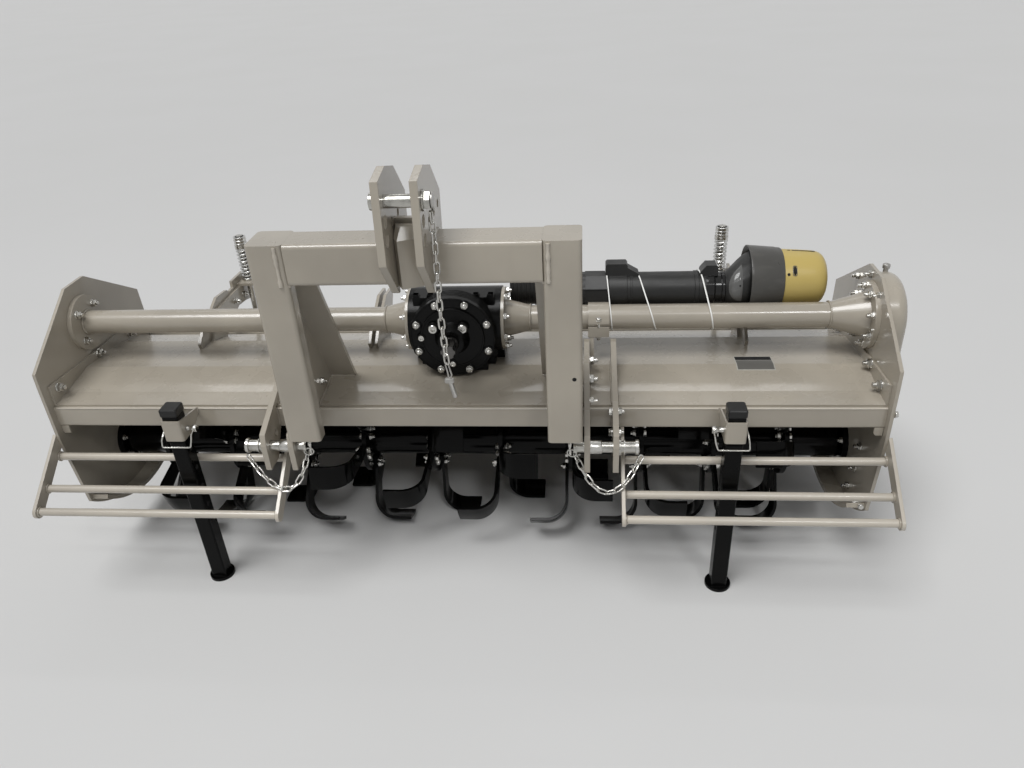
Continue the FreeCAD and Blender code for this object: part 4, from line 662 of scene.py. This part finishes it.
bracket_bolts = Form()
for side in (-1, 1):
    x = HOOD + side * (STRUT_REACH + 16)
    for y, z in ((690, 521), (628, 527)):
        bracket_bolts.bolt((x, y, z), (-side, 0, 0), 10, thread=6)
        bracket_bolts.bolt((x + side * 16, y, z), (side, 0, 0), 10)
    for lug in (-1, 1):
        bracket_bolts.lathe((HOOD + side * STRUT_REACH + lug * 18.3, STRUT_Y, 318), (lug, 0, 0),
                            [(0, 13), (2.5, 13), (2.6, 9)], 24)
piece("bracket_bolts", bracket_bolts, ZINC)

# Drive shaft: rings of the ribbed bell, the sleeve and clamps of its guard tube, the big bell and the cap
shaft = Form()
for n in range(9):
    shaft.lathe((153 + 11 * n, SHAFT_Y, SHAFT_Z), RIGHT,
                [(0, 55.4), (1.6, 58.2), (4.4, 58.2), (6, 55.4)], 48, True)
shaft.lathe((394, GUARD_Y, GUARD_Z), RIGHT, [(0, 42), (0.8, 44.2), (44, 44.2), (44.8, 42)], 48)
shaft.lathe((446, GUARD_Y, GUARD_Z), RIGHT, [(0, 42), (0.6, 43.0), (4.5, 43.0), (5, 42)], 48)
shaft.lathe((600, GUARD_Y, GUARD_Z), RIGHT, [(0, 42), (0.8, 43.6), (10, 43.6), (11, 42)], 48)
shaft.prism([(386, 684), (386, 714), (390, 718), (435, 718), (439, 714), (439, 708), (466, 692), (468, 684)],
            1, GUARD_Y - 16, GUARD_Y + 16)
flats = [(GUARD_Y + 45.6 * math.cos(a), GUARD_Z + 45.6 * math.sin(a)) for a in
         (math.radians(21.5) + math.tau * n / 8 for n in range(8))]
shaft.prism(flats, 0, 336, 392)
shaft.prism([(GUARD_Y + (y - GUARD_Y) * 0.96, GUARD_Z + (z - GUARD_Z) * 0.96) for y, z in flats], 0, 328, 337)
piece("shaft_guard_details", shaft, PLASTIC, angle=32)
seam = Form()
seam.block((337, 362.3, 661.5), (391, 366, 663.6), 0.3)
piece("shaft_guard_seam", seam, SHADE_AND_BLACK)

neck = Form()
# X and radius
NECK = ((611, 42.4), (612, 40.5), (626, 40.5), (628, 42.6), (636, 43.4), (646, 43.4), (648, 40.6), (650, 39.2),
        (664, 38.8), (666, 40.8), (672, 40.8), (674, 38.6))
neck.lathe((0, GUARD_Y, GUARD_Z), RIGHT, NECK, 48)
neck.prism([(612, 682), (615, 696), (627, 711), (651, 711), (655, 707), (656, 684)],
           1, GUARD_Y - 17, GUARD_Y + 17)
piece("shaft_neck", neck, GLOSSY, angle=32)


def bulge(x, swell=0.0):
    """Middle and radius of the bell's inner bulge there."""
    t = min(max((x - 674.0) / 76.0, 0.0), 1.0)
    ease = t * t * (3 - 2 * t)
    radius = 37.0 + 33.0 * math.sin(t * math.pi / 2) ** 0.9 + swell
    return GUARD_Y + (SHAFT_Y - GUARD_Y) * ease, GUARD_Z + (SHAFT_Z - GUARD_Z) * ease, radius


bell = Form()
rings = []
for x in (672, 676, 680, 685, 690, 696, 703, 711, 720, 730, 741, 750, 790):
    y, z, radius = bulge(x)
    rings.append(hoop(x, y, z, radius, 56))
bell.rings(rings)
piece("shaft_bell_bulge", bell, PLASTIC)
sleeve = Form()
sleeve.lathe((0, SHAFT_Y, SHAFT_Z), RIGHT,
             [(732, 81.4), (732, 83.2), (735, 84), (738, 83.2), (797, 78.2), (799, 77), (809, 76.2), (811.5, 75),
              (811.5, 66), (745, 71), (735, 78)], 72, True)
piece("shaft_bell_sleeve", sleeve, SLEEVE_WITH_SHEEN, replaces=("drive_shaft_bell",))

# The paler lens-shaped face on the bulge, with its small hole, turned to the front
face = Form()
rows, columns = 12, 9
for k in range(rows + 1):
    turn = -1 + 2 * k / rows
    angle = math.radians(156 - 48 * turn)
    near = 711 - 34 * math.sqrt(max(1 - turn * turn, 0.0))
    for n in range(columns + 1):
        x = near + (712 - near) * n / columns
        edge = min(1.0, 3.0 * (1 - abs(turn)) + 0.1, 3.0 * n / columns, 4.0 * (1 - n / columns) + 0.4)
        y, z, radius = bulge(x, -0.6 + 2.6 * edge)
        face.points.append(Vector((x, y + radius * math.cos(angle), z + radius * math.sin(angle))))
face.faces = grid_faces(rows, columns)
piece("shaft_bell_face", face, SHINY, angle=60)
# Near-black patches: painted shade in the bell's small hole and in the cap's hole and slot, and two dark lines
# along the cap's top
dots = Form()
y, z, radius = bulge(705, 1.6)
angle = math.radians(160)
dots.lathe((705, y + radius * math.cos(angle), z + radius * math.sin(angle)),
           (-0.35, math.cos(angle), math.sin(angle)), [(0, 2.6), (0.7, 2.5), (0.8, 0.01)], 16)

cap = Form()
cap.lathe((0, SHAFT_Y, SHAFT_Z), RIGHT,
          [(811, 68), (811, 72.4), (822, 72.0), (850, 70.4), (880, 68.2), (894, 66.4), (904, 62.8), (911, 57),
           (916, 48.5), (918.5, 38), (919, 24), (919, 0.01)], 96)
piece("shaft_cap", cap, GOLD, angle=50, replaces=("drive_shaft_cap",))


def on_cap(x, degrees, out=0.0):
    """A point on the cap's round side; degrees from the rear over the top."""
    radius = 72.0 - 0.062 * (x - 822) + out
    a = math.radians(degrees)
    return Vector((x, SHAFT_Y + radius * math.cos(a), SHAFT_Z + radius * math.sin(a)))


def patch_on_cap(form, x_low, x_high, turn_low, turn_high, out=0.35, rounding=0.0):
    """A thin patch on the cap between two places along it and two angles."""
    rows, columns = 8, 8
    start = len(form.points)
    for k in range(rows + 1):
        turn = turn_low + (turn_high - turn_low) * k / rows
        squeeze = rounding * (1 - math.sqrt(max(1 - (2 * k / rows - 1) ** 2, 0.0)))
        for n in range(columns + 1):
            x = x_low + squeeze + (x_high - x_low - squeeze * 2) * n / columns
            form.points.append(on_cap(x, turn, out))
    form.faces += grid_faces(rows, columns, start)


dots.lathe(on_cap(820, 150, -0.5), (0, math.cos(math.radians(150)), math.sin(math.radians(150))),
           [(0, 3.6), (0.9, 3.5), (1.0, 0.01)], 18)
patch_on_cap(dots, 831.0, 838.5, 134.0, 151.5, 0.4, 2.5)
patch_on_cap(dots, 836, 892, 84, 88, 0.4, 2.0)
patch_on_cap(dots, 826, 833, 84, 88, 0.4, 1.0)
piece("shaft_hole_shades_and_lines", dots, SHADE_AND_BLACK)
slot_edge = Form()
# X and angle of points round the slot
SLOT = ((831, 133.6), (830.2, 136), (830.2, 149.5), (831, 152), (834.7, 152.6), (838.4, 152), (839.2, 149.5),
        (839.2, 136), (838.4, 133.6), (834.7, 133))
slot_edge.bar([on_cap(x, turn, 0.3) for x, turn in SLOT], 0.9, 6, True)
piece("shaft_cap_slot_edge", slot_edge, SHINY)

# Ties round the drive shaft's guard and the cross tube: X on top, X low in front, thickness, and the
# radius on which they lie on the guard
TIES = ((387, 402, 1.5, 45.4), (461, 508, 1.7, 43.6), (612, 644, 1.9, 45.4))
ties = Form()
for top_x, low_x, wide, out in TIES:
    loop = []
    for a in [*range(-20, 96, 8), *range(104, 136, 8)]:
        t = math.radians(a)
        loop.append((a, GUARD_Y + out * math.cos(t), GUARD_Z + out * math.sin(t)))
    for a in range(144, 300, 10):
        t = math.radians(a)
        loop.append((a, TUBE_Y + 32.0 * math.cos(t), TUBE_Z + 32.0 * math.sin(t)))
    turns_at = [a for a, y, z in loop]
    run = [0.0]
    for (a, y, z), (b, v, w) in zip(loop, loop[1:] + loop[:1]):
        run.append(run[-1] + math.hypot(v - y, w - z))
    top, low = run[turns_at.index(84)], run[turns_at.index(234)]
    points = []
    for (a, y, z), along in zip(loop, run):
        share = min(max((along - top) / (low - top), 0.0), 1.0)
        back = max((along - low) / (run[-1] - low), 0.0)
        points.append((top_x + (low_x - top_x) * (share - back), y, z))
    ties.bar(points, wide, 8, True, 0.6)
    x, y, z = points[2]
    ties.block((x - 3.2, y + 0.5, z - 3), (x + 3.2, y + 6, z + 3), 0.8)
piece("shaft_ties", ties, TIE)

# Top link: its pin with washers and nut, the spacer's bent front, and the pin on the chain's end
top_pin = Form()
top_pin.lathe((-55, TOP_PIN_Y, TOP_PIN_Z), RIGHT,
              [(0, 12), (1.5, 16), (9, 16.7), (11.5, 15.5), (12, 12.7), (108, 12.7),
               (116, 11.2), (117, 0.01)], 36)
top_pin.lathe((43.2, TOP_PIN_Y, TOP_PIN_Z), RIGHT, [(0, 13), (0.3, 19.5), (3.4, 19.5), (3.8, 13)], 32)
top_pin.bolt((47, TOP_PIN_Y, TOP_PIN_Z), RIGHT, 18.5, washer=False)
piece("top_pin_with_nut", top_pin, PIN, replaces=("top_link_pin",))
washer = Form()
washer.lathe((60.2, TOP_PIN_Y, TOP_PIN_Z), RIGHT, [(0, 11.5), (0.2, 15.5), (2.4, 15.5), (2.8, 11.5)], 28)
round_wire(washer, (60, -36, 1006), 8, (0.9, 0.4, 0.1), 1.8)
piece("top_pin_washer", washer, DULL)

spacer = Form()
# X and Y of its outline below, and of its slanted top
FOLD = ((-27.6, -0.5), (-27.6, -5), (-18, -22), (27.6, -3), (27.6, -0.5))
BACK = ((-26, 12), (-24, 8), (-12, -2), (24, 10), (26, 12))
spacer.rings([[Vector((x, y, 838)) for x, y in FOLD], [Vector((x, y, 936)) for x, y in FOLD],
              [Vector((x, y, 960)) for x, y in BACK]])
piece("top_link_front_spacer", spacer, GREY, angle=20)

chain_end = Form()
chain_end.bar([(56, -37, 684), (59.5, -36, 680), (61.5, -35, 668), (64, -34, 654), (61, -34, 647), (57, -34, 650),
               (56, -35, 664), (53.5, -36, 678)], 1.9, 8, True)
chain_end.block((48.5, -40, 636.5), (68, -30, 645.5), 1.6)
chain_end.lathe((59.5, -35, 640), (0.20, 0.02, -1), [(0, 5.2), (3, 5.4)] + [
    (3 + n * 1.4, 5.3 if n % 2 else 4.5) for n in range(1, 26)] + [(40, 3)], 14)
piece("top_link_chain_pin", chain_end, DULL)


# Chains of round wire; the lower ones hang in front of the guards' arms
def link(form, middle, ahead, flat):
    """One link: its long way along ahead, its width along flat."""
    points = []
    for end in (1, -1):
        for k in range(7):
            a = math.radians(-90 + 30 * k)
            points.append(middle + (ahead * (6.6 + 5.5 * math.cos(a)) + flat * 5.5 * math.sin(a)) * end)
    form.bar(points, 2.0, 8, True)


def chain(points):
    """Links at points, turned in turns."""
    form = Form()
    for n, middle in enumerate(points):
        before, after = points[max(n - 1, 0)], points[min(n + 1, len(points) - 1)]
        ahead = (after - before).normalized()
        side_on = ahead.cross(Vector((0, 1, 0))).normalized()
        other = ahead.cross(side_on)
        turn = math.radians(random.uniform(-16, 16) + (0 if n % 2 else 90) + 12)
        link(form, middle, ahead, side_on * math.cos(turn) + other * math.sin(turn))
    return form


LINK_PITCH = 19.6
hang = [Vector((56 + 1.5 * math.sin(n * 0.5), -38 + 1.2 * math.cos(n * 0.7), 987 - LINK_PITCH * n))
        for n in range(16)]
piece("top_chain", chain(hang), ZINC, replaces=("top_link_chain",))
low_chains = Form()
for side in (-1, 1):
    curve = []
    for t in [k / 200 - 1 for k in range(401)]:
        out = 1 - t * t
        shift = 28 if side == -1 else -2
        curve.append(Vector((side * (388 + 73 * t) + shift * out, 52 - 56 * out, 389 - 58 * out)))
    chosen = [curve[0]]
    for point in curve:
        if (point - chosen[-1]).length >= LINK_PITCH:
            chosen.append(point)
    one = chain(chosen)
    low_chains.add(one.points, one.faces)
piece("low_chains", low_chains, ZINC, replaces=("lower_link_chains",))

# Blank plate on the deck: a dark band over a paler field, in a bright rim
sign = Form()
band = Form()
rim = Form()


def lie(x, y, up):
    """A point that far above the deck."""
    return Vector((x, y, deck_z(y) + up))


DECK_FOLD = 283.0
# form, X from and to, Y from and to, height over the deck
FIELDS = (
    (rim, 698, 788, 259, 325, 0.4), (sign, 700.2, 785.8, 261.4, 302, 0.7),
    (band, 700.2, 785.8, 304, 322.8, 0.7),
)
for form, x_low, x_high, y_low, y_high, up in FIELDS:
    ys = [y_low, DECK_FOLD, y_high] if y_low < DECK_FOLD < y_high else [y_low, y_high]
    rings = []
    for y in ys:
        rings.append([lie(x_low, y, up), lie(x_high, y, up), lie(x_high, y, -0.5), lie(x_low, y, -0.5)])
    form.rings(rings)
piece("plate_rim", rim, RIM)
piece("plate_field", sign, PLATE)
piece("plate_band", band, SHADE_AND_BLACK)

# Bolts by the right guard, and the tabs under the ends of the front beam
guard_bolts = Form()
guard_bolts.bolt((RIGHT_IN + PLATE_THICK, 108, 468), RIGHT, 8)
guard_bolts.bolt((RIGHT_IN - 11, 130, 190), (0, -1, 0.3), 7)
tabs = Form()
for x in (LEFT_IN + 11, RIGHT_IN - 11):
    tabs.prism([(x - 10, 421), (x - 10, 406), (x - 5, 400), (x + 10, 400), (x + 10, 421)], 1, 124.5, 131)
piece("guard_bolts", guard_bolts, ZINC)
piece("beam_tabs", tabs, GREY)

# Bolts of the headstock's gussets, and a small hole in the right leg, drawn as a near-black disc of painted shade
frame_bolts = Form()
for side in (-1, 1):
    frame_bolts.bolt((side * 294, 172, 520), (-side, 0, 0), 9.5, thread=7)
piece("gusset_bolts", frame_bolts, ZINC)
leg_hole_shade = Form()
leg_hole_shade.lathe((313, 0, 622), FRONT, [(-0.5, 4.6), (0.25, 4.5), (0.3, 0.01)], 20)
piece("leg_hole_shade", leg_hole_shade, SHADE_AND_BLACK)

# Rotor: two bolts through each blade and its flange; the angle at which each side's blades start
START = {-1: 2.5, 1: 79.0}
FLANGES, FLANGE_INSET, BOLT_REACH = 10, 160, 77
rotor_bolts = Form()
for n in range(FLANGES):
    flange = HOOD - HALF + FLANGE_INSET + (HALF - FLANGE_INSET) * 2 / (FLANGES - 1) * n
    for side in (-1, 1):
        outwards = (n == 0 and side == -1) or (n == FLANGES - 1 and side == 1)
        turn = START[side] + 17 * n + (14 * side if outwards else 0)
        points_to = -side if outwards else side
        for k in range(3):
            for degrees in (turn + 120 * k - 1, turn + 120 * k + 15):
                a = math.radians(degrees)
                y, z = ROTOR_Y + BOLT_REACH * math.cos(a), ROTOR_Z + BOLT_REACH * math.sin(a)
                rotor_bolts.bolt((flange + points_to * 14, y, z), (points_to, 0, 0), 9, thread=5)
                rotor_bolts.bolt((flange - points_to * 6, y, z), (-points_to, 0, 0), 9)
piece("rotor_bolts", rotor_bolts, ZINC, body="rotor")

# Welds
welds = Form()
for side in (-1, 1):
    weld(welds, [(side * 254, 4, 837), (side * 254, 38, 837)], 3.0)
    weld(welds, [(side * 43.5, 2, 924.5), (side * 43.5, 84, 924.5)], 3.2)
    weld(welds, [(side * 43.5, -0.5, 850), (side * 43.5, -0.5, 920)], 3.0)
    weld(welds, [(side * 293, y, deck_z(y) + 1) for y in (132, 184, 245)], 3.4)
    weld(welds, [(side * 232, 242, 494), (side * 298, 242, 494)], 3.4)
    weld(welds, [(side * 293.5, 41, 480), (side * 293.5, 41, 820)], 2.2)
    for x in (333, 346, 397, 410):
        weld(welds, [(side * x, 123, 428), (side * x, 123, 470)], 2.6)
        weld(welds, [(side * x, y, deck_z(y) + 1) for y in (134, 184, 255, 283, 298)], 2.6)
    for x in (HOOD + side * STAND_REACH - 24, HOOD + side * STAND_REACH + 24):
        weld(welds, [(x, 123, 461), (x, 123, 475)], 2.2)
for x, radius in ((-158, 32.6), (202, 32.6), (913, 31.2), (-949, 31.5)):
    weld(welds, hoop(x, TUBE_Y, TUBE_Z, radius, 40), 2.4, True)
# Y and Z of a guard's bars; their ends are at 403 and 993 from the hood's middle
BAR_ROWS = ((95, 349), (19, 307), (-34, 278))
for side in (-1, 1):
    for y, z in BAR_ROWS:
        for reach in (993 - 1.5, 403 + 1.5):
            weld(welds, hoop(HOOD + side * reach, y, z, 10.2, 16), 2.6, True)
piece("weld_beads", welds, GREY, angle=70)
# Beads between the legs and the top beam, and a rounded strip along the hood's front edge, both in the paler grey
# of a painted highlight
beads = Form()
for x in (-269, 265):
    weld(beads, [(x, -0.8, 838), (x, -0.8, 920)], 4.2)
piece("weld_beads_painted_highlight", beads, GREY_PAINTED_HIGHLIGHT, angle=70)
edge = Form()
edge.bar([(x, 125.3, 471.6) for x in range(-955, 1006, 40)], 2.4, 10)
piece("hood_front_edge_painted_highlight", edge, GREY_PAINTED_HIGHLIGHT)


# Camera, at the photograph's place
EYE = (332.2, -1403.1, 1439.5)
YAW, PITCH, ROLL = 0.1061, 0.5305, -0.0561
FOCAL_PIXELS, PHOTO_WIDE, SENSOR_WIDE = 782.1, 1024, 36.0
forward = Vector((-math.sin(YAW) * math.cos(PITCH), math.cos(YAW) * math.cos(PITCH), -math.sin(PITCH)))
right = Vector((math.cos(YAW), math.sin(YAW), 0.0))
up = right.cross(forward)
c, r = math.cos(ROLL), math.sin(ROLL)
right, up = right * c + up * r, up * c - right * r
camera = bpy.data.objects.new("camera", bpy.data.cameras.new("camera"))
bpy.context.collection.objects.link(camera)
camera.matrix_world = Matrix.Translation(model(EYE)) @ Matrix((right, up, -forward)).transposed().to_4x4()
camera.data.sensor_width = SENSOR_WIDE
camera.data.lens = FOCAL_PIXELS / PHOTO_WIDE * SENSOR_WIDE
camera.data.clip_end = 100.0
bpy.context.scene.camera = camera


# Floor and light
def aim(data, name, place, target):
    """A lamp at a place, turned to a target."""
    item = bpy.data.objects.new(name, data)
    bpy.context.collection.objects.link(item)
    item.location = place
    item.rotation_mode = "QUATERNION"
    item.rotation_quaternion = (Vector(target) - Vector(place)).to_track_quat("-Z", "Y")


# name, where the light comes from, strength, how wide it looks in degrees
SUNS = (
    ("lamp_ceiling", (-0.28, -0.34, 1.0), 2.15, 30.0),
    ("lamp_front", (0.45, -1.05, 1.2), 0.36, 8.0),
)
for name, place, strength, wide in SUNS:
    data = bpy.data.lights.new(name, "SUN")
    data.energy = strength
    data.angle = math.radians(wide)
    aim(data, name, [v * 4 for v in place], (0, 0, 0))
# name, place, length along X, width, power
STRIPS = (
    ("lamp_strip_front", (0.2, -1.9, 2.7), 3.6, 0.12, 9.0),
    ("lamp_strip_back", (-0.2, 1.6, 2.6), 3.6, 0.12, 6.0),
)
for name, place, long, wide, power in STRIPS:
    data = bpy.data.lights.new(name, "AREA")
    data.shape = "RECTANGLE"
    data.size, data.size_y = long, wide
    data.energy = power
    aim(data, name, place, (place[0], 0, 0.5))

floor_mesh = bpy.data.meshes.new("floor")
steps, floor_half = 24, 60
floor_points = [(-floor_half + 2 * floor_half * n / steps, -floor_half + 2 * floor_half * k / steps, 0.0)
                for k in range(steps + 1) for n in range(steps + 1)]
floor_mesh.from_pydata(floor_points, [], grid_faces(steps, steps))
floor = bpy.data.objects.new("floor", floor_mesh)
bpy.context.collection.objects.link(floor)
floor_look, tree, shader = nodes_of("floor")
tint = mix(tree, ramp(tree, noise(tree, 0.9, 4.0), 0.35, 0.65), (0.632, 0.632, 0.625), (0.642, 0.642, 0.637))
tree.links.new(tint, shader.inputs["Base Color"])
shader.inputs["Roughness"].default_value = 0.6
shader.inputs["Specular IOR Level"].default_value = 0.25
bumped(tree, shader, noise(tree, 60.0, 4.0), 0.03, 0.001)
floor_mesh.materials.append(floor_look)

world = bpy.data.worlds.new("world")
world.use_nodes = True
bpy.context.scene.world = world
tree = world.node_tree
plain = tree.nodes["Background"]
plain.inputs["Color"].default_value = (0.96, 0.97, 1.0, 1.0)
plain.inputs["Strength"].default_value = 0.185
shown = add(tree, "ShaderNodeBackground", Color=(0.60, 0.60, 0.595, 1.0), Strength=1.0)
path = tree.nodes.new("ShaderNodeLightPath")
seen = times(tree, path.outputs["Is Camera Ray"], path.outputs["Is Glossy Ray"], "ADD")
seen = times(tree, seen, path.outputs["Is Transmission Ray"], "ADD")
switch = tree.nodes.new("ShaderNodeMixShader")
tree.links.new(seen, switch.inputs[0])
tree.links.new(plain.outputs[0], switch.inputs[1])
tree.links.new(shown.outputs[0], switch.inputs[2])
tree.links.new(switch.outputs[0], tree.nodes["World Output"].inputs["Surface"])

bpy.context.scene.view_settings.view_transform = "Standard"
